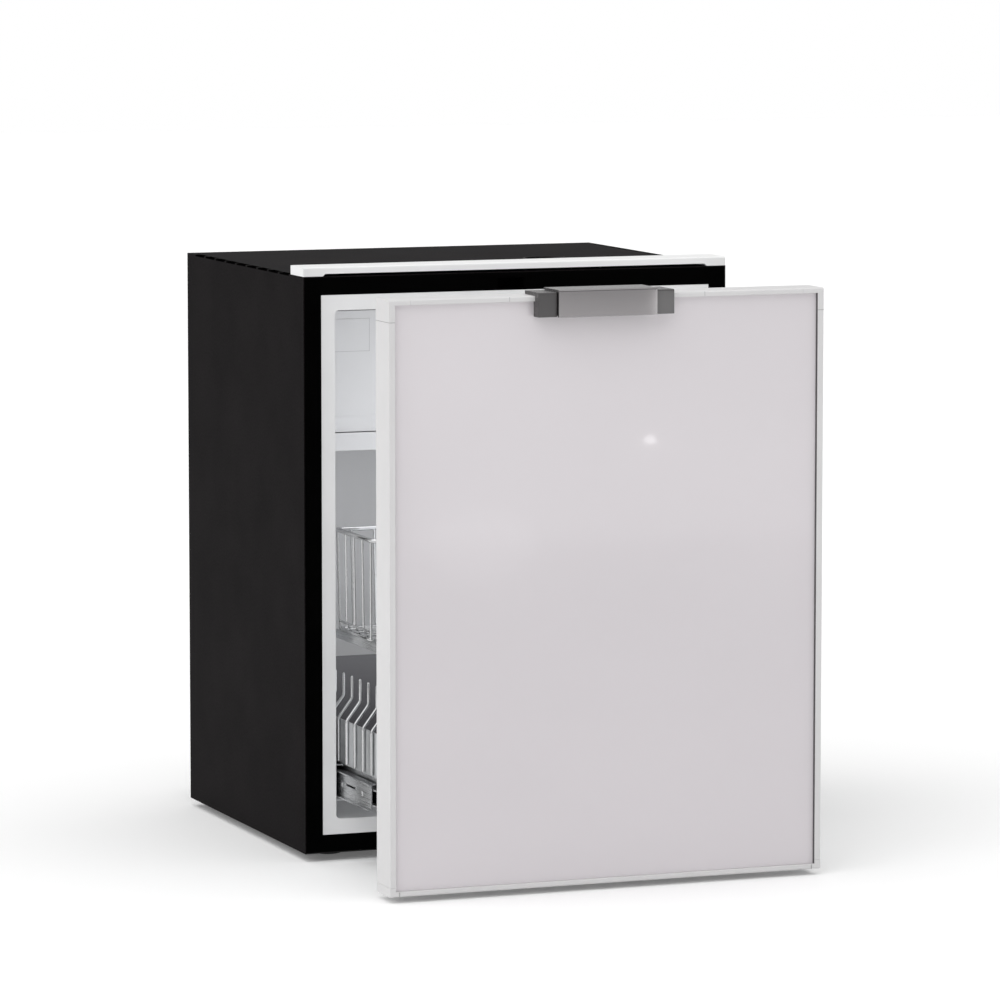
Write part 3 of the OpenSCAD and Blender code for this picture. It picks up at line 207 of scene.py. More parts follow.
def brushed(name, base, rough, size, tint, depth, spread=0.08):
    """Sheet metal with a grain that runs along the longest of the three sizes."""
    s = Shade(name, rough, metal=1.0)
    grain = s.noise(size, 3, 0.65)
    low, high = tinted(base * (1 - spread), tint), tinted(base * (1 + spread), tint)
    s.colour(grain, low, high)
    s.roughness(grain, rough * 0.85, rough * 1.2)
    s.bump(grain, depth)
    return s.material


def textured_case():
    """Black textured paint: a fine speckle over a slow drift."""
    s = Shade("case_black_texture", 0.6, specular=0.02)
    speckle = s.noise(2.2, 4, 0.75)
    drift = s.noise(60, 3)
    dark, light = (0.0028, 0.0022, 0.0025), (0.0114, 0.0096, 0.0103)
    s.colour(s.blend(speckle, drift, 0.25), dark, light, 0.36, 0.64)
    s.bump(speckle, 0.06, after=s.round_edges(0.5))
    return s.material


def roll_bond():
    """Aluminium evaporator sheet with its blown channels."""
    s = Shade("evaporator_sheet", 0.42, metal=1.0)
    s.colour(s.noise((26, 26, 0.8), 3, 0.65), (0.50, 0.51, 0.53), (0.60, 0.61, 0.63))
    channel = s.stretch(s.bands(70), 0, 1, 0.72, 0.95)
    s.bump(channel, 1.4, 0.8)
    return s.material


def plate_with_painted_shade():
    """Brushed plate whose colour darkens towards its foot: painted shade. The two heights are in metres."""
    s = Shade("rear_plate_dark_painted_shade", 0.42, metal=1.0)
    split = s.tree.nodes.new("ShaderNodeSeparateXYZ")
    s.link(s.coord, split.inputs["Vector"])
    foot, full = 0.110, 0.190
    # Painted shade: the colour runs from dark at the foot to lighter at full height
    rise = s.stretch(split.outputs["Z"], 0, 1, foot, full)
    s.colour(rise, (0.075, 0.073, 0.076), (0.15, 0.148, 0.152), 0.1, 1.0)
    grain = s.noise((160, 3, 0.4), 3, 0.65)
    s.roughness(grain, 0.36, 0.5)
    s.bump(grain, 0.01)
    return s.material


def panel_gloss():
    """Gloss panel under a clear coat, with a faint cloudiness in its colour that is painted reflection."""
    s = Shade("panel_gloss", 0.34, specular=0.3)
    s.put("Coat Weight", 0.8)
    s.put("Coat Roughness", 0.13)
    # Painted reflection: a faint, stretched cloudiness in the colour stands in for soft reflections
    s.colour(s.noise((420, 50, 180), 2, 0.45), (0.670, 0.635, 0.660), (0.700, 0.663, 0.689), 0.3, 0.75)
    s.roughness(s.noise((90, 40, 30), 2), 0.32, 0.36)
    return s.material


def frosted_lens():
    s = Shade("lens_frosted", 0.4)
    s.put("IOR", 1.45)
    s.put("Transmission Weight", 0.6)
    s.colour(s.noise(8), (0.86, 0.83, 0.72), (0.92, 0.9, 0.8))
    s.bump(s.cells(1.5), 0.08)
    return s.material


# Tints of bare metal
COOL, COOLER = (0.98, 0.99, 1.0), (0.97, 0.985, 1.0)
MATS = {
    "case": textured_case(),
    "evaporator": roll_bond(),
    "case_back": painted("rear_black_sheet", 0.011, 0.08, 0.55, 0.6, 0.04, edge=0.4, specular=0.2),
    "border": painted("border_satin_black", 0.0010, 0.2, 0.5, 0.8, 0.01, specular=0.004),
    # Painted shade: dead black without shine for the inside of the fold slots
    "slot": painted("slot_painted_shade", 0.0008, 0.3, 0.9, 0.8, 0.01, specular=0.0),
    "liner": painted("liner_white", 0.79, 0.012, 0.38, 1.6, 0.012, (1, 1, 1.003)),
    "skin": painted("front_skin_white", 0.69, 0.012, 0.4, 1.6, 0.012),
    "trim": painted("trim_white", 0.86, 0.01, 0.42, 0.5, 0.008),
    "profile": painted("profile_white", 0.685, 0.012, 0.4, 0.35, 0.01, (1, 0.99, 0.995)),
    "rubber": painted("rubber_black", 0.018, 0.15, 0.78, 0.4, 0.03),
    "gasket": painted("gasket_grey", 0.60, 0.02, 0.55, 0.6, 0.01),
    "seam": painted("joint_grey", 0.28, 0.05, 0.5, 0.5, 0.005),
    # Grey of the painted shade along the edges of the pad on the flap
    "outline": painted("pad_edge_painted_shade_grey", 0.52, 0.03, 0.5, 0.5, 0.005),
    # Dark material of the panel's seal, and of painted shade in the gaps by the panel and under the liner's
    # ceiling
    "seal_and_painted_shade": painted("seal_and_painted_shade_dark", 0.10, 0.1, 0.5, 0.5, 0.01, (1, 0.94, 0.98)),
    "cap": painted("cap_dark_grey", 0.055, 0.05, 0.26, 0.5, 0.008, (1, 0.94, 0.96)),
    "plastic": painted("plastic_black", 0.014, 0.1, 0.5, 0.5, 0.03),
    "unit_paint": painted("unit_black", 0.011, 0.12, 0.36, 1.2, 0.02),
    "wire_black": painted("guard_black", 0.018, 0.1, 0.4, 0.6, 0.01),
    "blue": painted("terminal_blue", 1.0, 0.06, 0.45, 0.6, 0.02, (0.012, 0.08, 0.27)),
    "foam": painted("foam_yellow", 0.8, 0.06, 0.9, 1.5, 0.3, (1, 0.88, 0.62)),
    "knob": painted("knob_white", 0.68, 0.01, 0.35, 0.8, 0.01),
    "plate_dark": plate_with_painted_shade(),
    "steel_sheet": brushed("steel_sheet", 0.68, 0.36, (0.6, 60, 60), COOLER, 0.006),
    "zinc": brushed("zinc_plate", 0.50, 0.36, (9, 14, 9), COOLER, 0.02, 0.16),
    "runner": brushed("runner_steel", 0.62, 0.28, (0.5, 45, 0.5), COOLER, 0.01, 0.12),
    "chrome": brushed("chrome_wire", 0.56, 0.2, (4, 4, 4), COOL, 0.002, 0.05),
    "latch": brushed("latch_metal", 0.2, 0.2, (60, 0.25, 0.25), (1, 0.96, 0.975), 0.006, 0.07),
    "fin": brushed("fin_aluminium", 0.5, 0.42, (1, 8, 8), COOL, 0.01, 0.15),
    "copper": brushed("copper_tube", 1.0, 0.3, (14, 14, 14), (0.62, 0.30, 0.17), 0.006, 0.16),
    "panel": panel_gloss(),
    "lens": frosted_lens(),
}

CAD_LOOKS = {
    "case": ["outer_case"],
    "case_back": ["base_plate", "rear_panel", "top_recess_cup"],
    "border": ["front_border", "latch_keeper"],
    "foam": ["cabinet_insulation", "front_insulation"],
    "liner": ["inner_liner", "freezer_frame", "freezer_flap", "drip_tray", "thermostat_housing"],
    "skin": ["front_inner_skin"],
    "knob": ["thermostat_knob"],
    "trim": ["top_trim_bar"],
    "profile": ["top_profile", "bottom_profile", "side_profiles", "corner_pieces"],
    "panel": ["front_panel"],
    "rubber": ["rubber_feet", "compressor_grommets"],
    "gasket": ["door_gasket"],
    "zinc": ["latch_hook", "latch_spring", "runner_screws", "frame_screws",
             "unit_screws", "drawer_side_frames", "rear_posts"],
    "runner": ["runner_cabinet_members", "runner_middle_left", "runner_middle_right",
               "runner_drawer_members", "upper_rails"],
    "chrome": ["runner_balls_left", "runner_balls_right", "bin_side_wires", "upper_basket",
               "basket_divider"],
    "steel_sheet": ["bin_tray"],
    "plate_dark": ["bin_rear_plate"],
    "latch": ["latch_bar"],
    "cap": ["latch_caps"],
    "evaporator": ["evaporator"],
    "fin": ["condenser_fins"],
    "lens": ["lamp_lens"],
    "unit_paint": ["unit_tray", "compressor"],
    "plastic": ["control_box", "fan_shroud", "fan_motor", "fan_rotor"],
    "wire_black": ["fan_guard"],
    "blue": ["terminal_block"],
    "copper": ["condenser_tube", "filter_drier", "refrigerant_pipes"],
}


def dress(obj, material):
    obj.data.materials.clear()
    obj.data.materials.append(material)


for look, names in CAD_LOOKS.items():
    for name in names:
        dress(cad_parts[name], MATS[look])


def smooth_by_angle(obj, degrees):
    for polygon in obj.data.polygons:
        polygon.use_smooth = True
    sharp = obj.data.attributes.get("sharp_edge") or obj.data.attributes.new(
        "sharp_edge", "BOOLEAN", "EDGE")
    bm = bmesh.new()
    bm.from_mesh(obj.data)
    limit = math.radians(degrees)
    marks = [len(e.link_faces) != 2 or e.calc_face_angle(0) > limit for e in bm.edges]
    bm.free()
    sharp.data.foreach_set("value", marks)


def even_normals(obj, keep_sharp):
    """Lets the large faces set the shading, so flat sheets look flat up to their rounded edges."""
    shade = obj.modifiers.new("shade", "WEIGHTED_NORMAL")
    shade.mode = "FACE_AREA"
    shade.weight = 100
    shade.thresh = 1e-7
    shade.keep_sharp = keep_sharp


def soften(name, width):
    """Rounded edges on a CAD node, by modifiers alone."""
    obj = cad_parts[name]
    weld = obj.modifiers.new("weld", "WELD")
    weld.merge_threshold = 2e-6
    flat = obj.modifiers.new("flat", "DECIMATE")
    flat.decimate_type = "DISSOLVE"
    flat.angle_limit = math.radians(0.5)
    edge = obj.modifiers.new("edge", "BEVEL")
    edge.width = width * MM
    edge.segments = 2
    edge.limit_method = "ANGLE"
    edge.angle_limit = math.radians(30)
    for polygon in obj.data.polygons:
        polygon.use_smooth = True
    even_normals(obj, False)


# Mesh kit: pieces are drawn in millimetres
def turns(sides):
    """The angles of a full turn, in equal steps."""
    return [2 * math.pi * k / sides for k in range(sides)]


def circle(r, sides):
    return [(r * math.cos(a), r * math.sin(a)) for a in turns(sides)]


def ring(bm, centre, u, v, radius, sides):
    """Points round centre in the plane of u and v; radius is a number, or a function of the angle."""
    points = []
    for a in turns(sides):
        r = radius(a) if callable(radius) else radius
        points.append(bm.verts.new(Vector(centre) + u * (r * math.cos(a)) + v * (r * math.sin(a))))
    return points


def bridge(bm, rings, closed=False):
    """Faces from each ring to the next. A ring of one point is a tip."""
    following = rings[1:] + rings[:1] if closed else rings[1:]
    for a, b in zip(rings, following):
        for k in range(max(len(a), len(b))):
            corners = [a[k % len(a)], a[(k + 1) % len(a)], b[(k + 1) % len(b)], b[k % len(b)]]
            corners = list(dict.fromkeys(corners))
            if len(corners) > 2:
                bm.faces.new(corners)


def filleted(points, radius, closed=False, steps=6):
    """A path with its corners rounded."""
    pts = [Vector(p) for p in points]
    n = len(pts)
    out = []
    for i, p in enumerate(pts):
        if not closed and i in (0, n - 1):
            out.append(p)
            continue
        to_last, to_next = pts[i - 1] - p, pts[(i + 1) % n] - p
        room = 0.48 * min(to_last.length, to_next.length)
        to_last.normalize()
        to_next.normalize()
        turn = math.pi - to_last.angle(to_next)
        if turn < 0.02:
            out.append(p)
            continue
        cut = min(radius * math.tan(turn / 2), room)
        r = cut / math.tan(turn / 2)
        centre = p + (to_last + to_next).normalized() * (r / math.cos(turn / 2))
        start, end = p + to_last * cut - centre, p + to_next * cut - centre
        out += [centre + start.slerp(end, k / steps) * r for k in range(steps + 1)]
    return out


def directions(path, closed):
    """The path's direction at each of its points."""
    n = len(path)
    out = []
    for i in range(n):
        behind = (path[i] - path[i - 1]).normalized()
        ahead = (path[(i + 1) % n] - path[i]).normalized()
        if closed or 0 < i < n - 1:
            out.append((ahead + behind).normalized())
        else:
            out.append(ahead if i == 0 else behind)
    return out


def sweep(bm, path, outline, closed=False, up=None, scale=None):
    """Draws an outline along a path. up fixes the outline's second axis; otherwise it doesn't twist.
    In a bend the outline is widened across the bend, so that the piece keeps its thickness."""
    path = [Vector(p) for p in path]
    n = len(path)
    side = None
    rings = []
    for i, along in enumerate(directions(path, closed)):
        if up is not None:
            side = along.cross(Vector(up)).normalized()
        elif side is None:
            side = along.orthogonal().normalized()
        else:
            side = (side - along * side.dot(along)).normalized()
        top = side.cross(along).normalized()
        stretch, bend = 1.0, None
        if closed or 0 < i < n - 1:
            before = (path[i] - path[i - 1]).normalized()
            change = before - (path[(i + 1) % n] - path[i]).normalized()
            stretch = 1 / max(0.5, before.dot(along))
            if stretch > 1.0005 and change.length > 1e-6:
                bend = change.normalized()
        size = 1.0 if scale is None else scale[i]
        points = []
        for x, y in outline:
            v = side * (x * size) + top * (y * size)
            if bend is not None:
                v += bend * (v.dot(bend) * (stretch - 1))
            points.append(bm.verts.new(path[i] + v))
        rings.append(points)
    bridge(bm, rings, closed)
    if not closed:
        bm.faces.new(list(reversed(rings[0])))
        bm.faces.new(rings[-1])


TIP_ANGLES = [math.radians(a) for a in (12, 35, 60, 90)]


def rounded_tip(tip, inner, r):
    """The points and the shares of the thickness along a rod's rounded tip, from the tip inwards."""
    back = (inner - tip).normalized()
    return [(tip + back * (r * (1 - math.cos(a))), math.sin(a)) for a in TIP_ANGLES]


def tube(bm, points, d, bend=4.0, closed=False, sides=12, ball=(False, False), steps=5):
    """A round rod with rounded bends, and a rounded tip at the start or the end where ball says so."""
    path = filleted(points, bend, closed, steps)
    rod = [(p, 1.0) for p in path]
    if ball[0]:
        rod = rounded_tip(path[0], path[1], d / 2) + rod[1:]
    if ball[1]:
        rod = rod[:-1] + rounded_tip(path[-1], path[-2], d / 2)[::-1]
    sweep(bm, [p for p, _ in rod], circle(d / 2, sides), closed, scale=[share for _, share in rod])


# For each axis of a turned piece: the two directions across it, and its own
LATHE_AXES = {
    "x": (Y_AXIS, Z_AXIS, X_AXIS),
    "y": (X_AXIS, -Z_AXIS, Y_AXIS),
    "z": (X_AXIS, Y_AXIS, Z_AXIS),
}


def lathe(bm, outline, origin, axis="z", sides=48):
    """Turns an open outline of (radius, height) about an axis through origin. Ends at radius 0 close it."""
    u, v, w = LATHE_AXES[axis]
    rings = [ring(bm, Vector(origin) + w * h, u, v, r, sides if r > 0 else 1) for r, h in outline]
    bridge(bm, rings)


def merge(bm, part):
    """Copies one mesh into another and frees it."""
    copies = {vert: bm.verts.new(vert.co) for vert in part.verts}
    for face in part.faces:
        bm.faces.new([copies[v] for v in face.verts])
    part.free()


def round_off(part, edges, width, segments):
    if width > 0:
        bmesh.ops.bevel(part, geom=edges, offset=width, segments=segments, profile=0.5,
                        affect="EDGES", clamp_overlap=True)


def slab(bm, low, high, bevel=0.0, segments=2):
    """A box between two corners with rounded edges."""
    part = bmesh.new()
    bmesh.ops.create_cube(part, size=1.0)
    for vert in part.verts:
        vert.co = Vector([low[i] + (vert.co[i] + 0.5) * (high[i] - low[i]) for i in range(3)])
    round_off(part, list(part.edges), bevel, segments)
    merge(bm, part)


def prism(bm, outline, axis, a, b, bevel=0.0, segments=2):
    """An outline drawn out along an axis from a to b, with its edges rounded. The outline's two
    coordinates are the two other axes, in X, Y, Z order."""
    part = bmesh.new()
    slot = "xyz".index(axis)
    first, last = ([part.verts.new((*p[:slot], h, *p[slot:])) for p in outline] for h in (a, b))
    part.faces.new(first)
    part.faces.new(list(reversed(last)))
    n = len(outline)
    for k in range(n):
        part.faces.new((first[k], last[k], last[(k + 1) % n], first[(k + 1) % n]))
    bmesh.ops.recalc_face_normals(part, faces=list(part.faces))
    sharp = [e for e in part.edges if e.calc_face_angle(0) > math.radians(25)]
    round_off(part, sharp, bevel, segments)
    merge(bm, part)


def rounded(a, b, r, steps=5):
    """A rectangle's outline with round corners."""
    out = []
    for cx, cy, start in ((b[0] - r, b[1] - r, 0), (a[0] + r, b[1] - r, 90),
                          (a[0] + r, a[1] + r, 180), (b[0] - r, a[1] + r, 270)):
        for k in range(steps + 1):
            angle = math.radians(start + 90 * k / steps)
            out.append((cx + r * math.cos(angle), cy + r * math.sin(angle)))
    return out


def sided(side, a, b):
    """The low and the high x of a stretch from a to b, on the side -1 or 1."""
    return sorted((side * a, side * b))


# The angle above which an edge stays sharp: flat sheets and boxes, turned shapes, pipes, and wires
FLAT, TURNED, PIPE, WIRE = 35, 40, 50, 60


def finish_piece(name, bm, look, body, replaces=(), smooth=FLAT):
    """Makes the object in metres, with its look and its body."""
    bmesh.ops.recalc_face_normals(bm, faces=list(bm.faces))
    for vert in bm.verts:
        vert.co *= MM
    mesh = bpy.data.meshes.new(name)
    bm.to_mesh(mesh)
    bm.free()
    obj = bpy.data.objects.new(name, mesh)
    scene.collection.objects.link(obj)
    dress(obj, MATS[look])
    smooth_by_angle(obj, smooth)
    if smooth == FLAT:
        even_normals(obj, True)
    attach(obj, body)
    if replaces:
        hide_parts(*replaces)
    return obj


# Floor, backdrop and light; places and sizes here are in metres
FLOOR_HALF = 14
FLOOR_GLOW = 0.11
AMBIENT = 0.56


def any_ray(tree, *kinds):
    """1 for a ray of one of these kinds, otherwise 0."""
    path = tree.nodes.new("ShaderNodeLightPath")
    seen = path.outputs[kinds[0]]
    for kind in kinds[1:]:
        either = tree.nodes.new("ShaderNodeMath")
        either.operation = "MAXIMUM"
        tree.links.new(seen, either.inputs[0])
        tree.links.new(path.outputs[kind], either.inputs[1])
        seen = either.outputs[0]
    return seen


def stage_floor():
    """A pale floor that takes the shadow; its glow is for the camera and for mirrors alone."""
    h = FLOOR_HALF
    mesh = bpy.data.meshes.new("floor")
    mesh.from_pydata([(-h, -h, 0), (h, -h, 0), (h, h, 0), (-h, h, 0)], [], [(0, 1, 2, 3)])
    floor = bpy.data.objects.new("floor", mesh)
    scene.collection.objects.link(floor)
    material = bpy.data.materials.new("floor_pale")
    material.use_nodes = True
    tree = material.node_tree
    tree.nodes.clear()
    out = tree.nodes.new("ShaderNodeOutputMaterial")
    diffuse = tree.nodes.new("ShaderNodeBsdfDiffuse")
    diffuse.inputs["Color"].default_value = (0.88, 0.88, 0.88, 1)
    glow = tree.nodes.new("ShaderNodeEmission")
    glow.inputs["Color"].default_value = (1, 1, 1, 1)
    level = tree.nodes.new("ShaderNodeMath")
    level.operation = "MULTIPLY"
    level.inputs[1].default_value = FLOOR_GLOW
    seen = any_ray(tree, "Is Camera Ray", "Is Glossy Ray", "Is Transmission Ray")
    tree.links.new(seen, level.inputs[0])
    tree.links.new(level.outputs[0], glow.inputs["Strength"])
    both = tree.nodes.new("ShaderNodeAddShader")
    tree.links.new(diffuse.outputs[0], both.inputs[0])
    tree.links.new(glow.outputs[0], both.inputs[1])
    tree.links.new(both.outputs[0], out.inputs["Surface"])
    mesh.materials.append(material)


def stage_world():
    """An even grey light all round, which the camera sees as white."""
    world = bpy.data.worlds.new("studio")
    scene.world = world
    world.use_nodes = True
    tree = world.node_tree
    tree.nodes.clear()
    mix = tree.nodes.new("ShaderNodeMixShader")
    tree.links.new(any_ray(tree, "Is Camera Ray", "Is Transmission Ray"), mix.inputs["Fac"])
    for place, strength in ((1, AMBIENT), (2, 1.0)):
        plain = tree.nodes.new("ShaderNodeBackground")
        plain.inputs["Color"].default_value = (1, 1, 1, 1)
        plain.inputs["Strength"].default_value = strength
        tree.links.new(plain.outputs[0], mix.inputs[place])
    out = tree.nodes.new("ShaderNodeOutputWorld")
    tree.links.new(mix.outputs[0], out.inputs["Surface"])


def sun(name, toward, level, angle):
    """A wide, even light; level is how bright a white surface that faces it becomes."""
    data = bpy.data.lights.new(name, "SUN")
    data.energy = level * math.pi
    data.angle = math.radians(angle)
    lamp = bpy.data.objects.new(name, data)
    lamp.rotation_euler = Vector(toward).to_track_quat("Z", "Y").to_euler()
    scene.collection.objects.link(lamp)


def softbox(name, place, target, size, power, colour=(1, 1, 1), shine=False, shape="RECTANGLE"):
    """A soft lamp; one for shine alone shows only in glossy surfaces."""
    data = bpy.data.lights.new(name, "AREA")
    data.shape = shape
    data.size, data.size_y = size
    data.energy = power
    data.color = colour
    lamp = bpy.data.objects.new(name, data)
    lamp.location = place
    lamp.rotation_euler = (Vector(target) - Vector(place)).to_track_quat("-Z", "Y").to_euler()
    lamp.visible_camera = False
    lamp.visible_diffuse = not shine
    scene.collection.objects.link(lamp)


def reflection(name, x, z, front, distance, size, power, shape="RECTANGLE"):
    """A lamp square before the drawer's front, which shows only as a patch of shine on it."""
    softbox(name, (x, front - distance, z), (x, front, z), size, power, shine=True, shape=shape)


def stage_lights():
    sun("key", (-0.62, -0.15, 0.6), 0.34, 70)
    sun("overhead", (0.07, -0.12, 1), 0.32, 80)
    softbox("ceiling", (0.45, -0.35, 1.9), (0.1, -0.43, 0.56), (1.2, 1.5), 2.4, shine=True)
    softbox("inside", (0, -0.176, 0.29), (0, 0.1, 0.29), (0.3, 0.42), 0.24, (0.93, 0.95, 1))
    softbox("doorway", (0, -0.2, 0.279), (0, 0.1, 0.279), (0.4, 0.6), 0.17, (0.97, 0.98, 1))
    panel, latch = PANEL.y0 * MM, Box("latch_bar").y0 * MM
    reflection("panel_card", 0.14, 0.412, panel, 0.3, (0.46, 0.24), 0.26)
    reflection("panel_corner", -0.02, 0.44, panel, 0.3, (0.15, 0.2), 0.075)
    # The pale patch on the panel: ellipses inside one another, so that it fades outwards
    for share in (1.0, 0.8, 0.6, 0.4):
        reflection(f"panel_glow_{share}", -0.0503, 0.307, panel, 0.2, (0.11 * share, 0.07 * share),
                   0.011 * share ** 2, "ELLIPSE")
    reflection("panel_spot", 0.0675, 0.4183, panel, 0.06, (0.0115, 0.008), 0.0015, "ELLIPSE")
    reflection("cap_glow", 0.0837, 0.5488, latch, 0.068, (0.024, 0.03), 0.006)


scene.view_settings.view_transform = "Standard"
stage_floor()
stage_world()
stage_lights()

# Radius of the rounded edges, and the CAD nodes that have it
EDGE_RADII = {
    0.25: ["latch_bar"],
    0.3: ["front_panel", "latch_caps", "latch_hook", "thermostat_knob"],
    0.35: ["top_profile", "bottom_profile", "corner_pieces"],
    0.4: ["top_trim_bar", "terminal_block", "fan_shroud", "inner_liner"],
    0.5: ["front_border", "side_profiles", "freezer_flap", "freezer_frame", "drip_tray",
          "thermostat_housing", "control_box"],
    0.6: ["front_inner_skin"],
}
for radius, names in EDGE_RADII.items():
    for name in names:
        soften(name, radius)


# Baskets and bin
# The upper basket's rim, front and back, and the middles of its base ring and its rim in height
BASKET_Y0, BASKET_Y1 = -265, -160
BASKET_Z0, BASKET_Z1 = 225.55, 321.55


def rectangle(x, y0, y1, z):
    """The corners of a level rectangle that reaches x to each side."""
    return [(-x, y0, z), (x, y0, z), (x, y1, z), (-x, y1, z)]


def upper_basket():
    """A rim and a base ring, wires that hook over the rim, and the wires of the sides and the floor."""
    rim_x, base_x, inset = 180, 179, 8
    y0, y1, z0, z1 = BASKET_Y0, BASKET_Y1, BASKET_Z0, BASKET_Z1
    base_y0, base_y1 = y0 + inset, y1 - inset
    rim_d, base_d, wire_d = 4.5, 4.0, 2.4
    floor_z, low_rail_z = z0 + 2.8, z0 + 7.5
    bm = bmesh.new()
    tube(bm, rectangle(rim_x, y0, y1, z1), rim_d, 7, True, 14)
    tube(bm, rectangle(base_x, base_y0, base_y1, z0), base_d, 7, True, 12)
    hooks, reach = 15, 165
    for i in range(hooks):
        x = -reach + i * 2 * reach / (hooks - 1)
        tube(bm, [(x, y0 + 0.4, z1 + 1.6), (x, y0 + 1.2, z1 - 6), (x, base_y0 - 1.2, z0 + 1),
                  (x, base_y1 + 1.2, z0 + 1), (x, y1 - 1.2, z1 - 6), (x, y1 - 0.4, z1 + 1.6)],
             wire_d, 5, sides=8)
    first, pitch = y0 + 6, 24
    for y, foot in ((first, base_y0), (first + 4 * pitch, base_y1)):
        for s in (-1, 1):
            tube(bm, [(s * base_x, foot, z0), (s * rim_x, y, z1)], wire_d, sides=8)
    for i in (1, 2, 3):
        y = first + i * pitch
        tube(bm, [(-rim_x, y, z1), (-base_x + 1, y + 2, floor_z), (base_x - 1, y + 2, floor_z),
                  (rim_x, y, z1)], wire_d, 5, sides=8)
    for s in (-1, 1):
        tube(bm, [(s * base_x, base_y0, low_rail_z), (s * base_x, base_y1, low_rail_z)], wire_d, sides=8)
    for i in (1, 3, 5):
        y = base_y0 + i * pitch / 2
        tube(bm, [(-base_x, y, floor_z), (base_x, y, floor_z)], wire_d, sides=8)
    finish_piece("upper_wire_basket", bm, "chrome", "drawer", ["upper_basket"], WIRE)


def basket_divider():
    """A rod across the rim with four wires that hang from it and one that ties them."""
    box = Box("basket_divider")
    rod_d, wire_d, wires, inset = 4.0, 2.4, 4, 18.5
    x, top = box.x_mid, box.z1 - rod_d / 2
    bm = bmesh.new()
    tube(bm, [(x, box.y0, top), (x, box.y1, top)], rod_d, sides=12, ball=(True, True))
    first, last = box.y0 + inset, box.y1 - inset
    for i in range(wires):
        y = first + i * (last - first) / (wires - 1)
        tube(bm, [(x, y, box.z0), (x, y, top)], wire_d, sides=8, ball=(True, False))
    tie_z = box.z0 + (BASKET_Z1 - BASKET_Z0) * 0.42
    tube(bm, [(x, first - 5, tie_z), (x, last + 5, tie_z)], wire_d, sides=8, ball=(True, True))
    finish_piece("divider_wires", bm, "chrome", "drawer", ["basket_divider"], WIRE)


def bin_fingers():
    """Twelve wires a side, which rise along the bin, step inwards and end in a rounded tip."""
    tray = Box("bin_tray")
    wire_d, count, pitch, gap, step = 3.0, 12, 24, 0.05, 14
    first = tray.y1 - 8.2
    foot_z, low_z, high_z, tip_z = tray.z0 + 1, tray.z1 + 1, tray.z1 + 19.5, tray.z1 + 41.5
    bm = bmesh.new()
    for s in (-1, 1):
        x = s * (tray.x1 + gap + wire_d / 2)
        tip = x - s * step
        for i in range(count):
            y = first - pitch * i
            path = [(x, y, foot_z), (x, y, low_z), (tip, y, high_z), (tip, y, tip_z)]
            tube(bm, path, wire_d, 7, sides=12, ball=(True, True))
    finish_piece("bin_finger_wires", bm, "chrome", "drawer", ["bin_side_wires"], WIRE)


# Drawer front and latch
def door_gasket():
    """Magnetic gasket: a foot, a bellows and a bead round the whole front."""
    half = [(7, 0), (7, 1.4), (5.8, 2.2), (5.2, 2.6), (4.6, 3.2), (4.9, 3.9), (5.4, 4.6), (5.4, 6.4),
            (4.6, 7.5), (3.4, 7.7)]
    outline = half + [(-x, y) for x, y in reversed(half)]
    box, inset = Box("door_gasket"), half[0][0]
    x, z0, z1 = box.x1 - inset, box.z0 + inset, box.z1 - inset
    corners = [(-x, box.y0, z0), (x, box.y0, z0), (x, box.y0, z1), (-x, box.y0, z1)]
    bm = bmesh.new()
    sweep(bm, filleted(corners, 7.2, True), outline, True, up=Y_AXIS)
    finish_piece("magnetic_gasket", bm, "gasket", "drawer", ["door_gasket"], TURNED)


def latch_spring():
    """The return spring under the hook: a closed helix that narrows on the way up."""
    x, y, low, height = Box("latch_hook").x_mid, DOOR.y1 - 8, DOOR.z1 - 12, 6.9
    wire_r, wide, narrow, coils, steps = 0.4, 4.0, 2.6, 3, 28
    path = []
    for k in range(coils * steps + 1):
        t = k / (coils * steps)
        a = 2 * math.pi * coils * t
        r = wide + (narrow - wide) * t
        path.append((x + r * math.cos(a), y + r * math.sin(a), low + wire_r + (height - 2 * wire_r) * t))
    bm = bmesh.new()
    sweep(bm, path, circle(wire_r, 8))
    spring = finish_piece("latch_return_spring", bm, "zinc", "drawer", ["latch_spring"], WIRE)
    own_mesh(spring)


def joint_lines():
    """The hairline joints between the front's profiles and its corner pieces."""
    profile = Box("side_profiles")
    seat, front = 0.04, DOOR.y0 - 0.04
    bm = bmesh.new()
    for s in (-1, 1):
        a, b = sided(s, PANEL.x1 + 0.2, DOOR.x1 + seat)
        slab(bm, (a, front, profile.z1 - 0.17), (b, DOOR.y1 + seat, profile.z1 + 0.17))
        a, b = sided(s, 209.4, 209.9)
        slab(bm, (a, front, DOOR.z0 + 0.5), (b, DOOR.y0 + 1, PANEL.z0 - 0.3))
    for x in (-100, 96.6):
        slab(bm, (x - 0.15, front, PANEL.z1 + 0.4), (x + 0.15, DOOR.y0 + 1, DOOR.z1 - 0.6))
    finish_piece("corner_joint_lines", bm, "seam", "drawer")


def panel_seal_painted_shade():
    """A dark bead between the gloss panel and its right-hand side profile: a seal, and painted shade for
    the shadow along the profile's inner wall.
    """
    low, high, back = PANEL.z0 + 0.1, PANEL.z1 - 0.1, PANEL.y0 + 0.3
    bm = bmesh.new()
    slab(bm, (PANEL.x1 - 0.5, PANEL.y0 - 0.6, low), (PANEL.x1 + 0.02, back, high), 0.2)
    # Painted shade: a dark strip over the inner wall of the right-hand profile
    slab(bm, (PANEL.x1 - 0.1, PANEL.y0 - 2.9, low), (PANEL.x1 + 0.06, back, high))
    finish_piece("panel_seal_painted_shade", bm, "seal_and_painted_shade", "drawer")


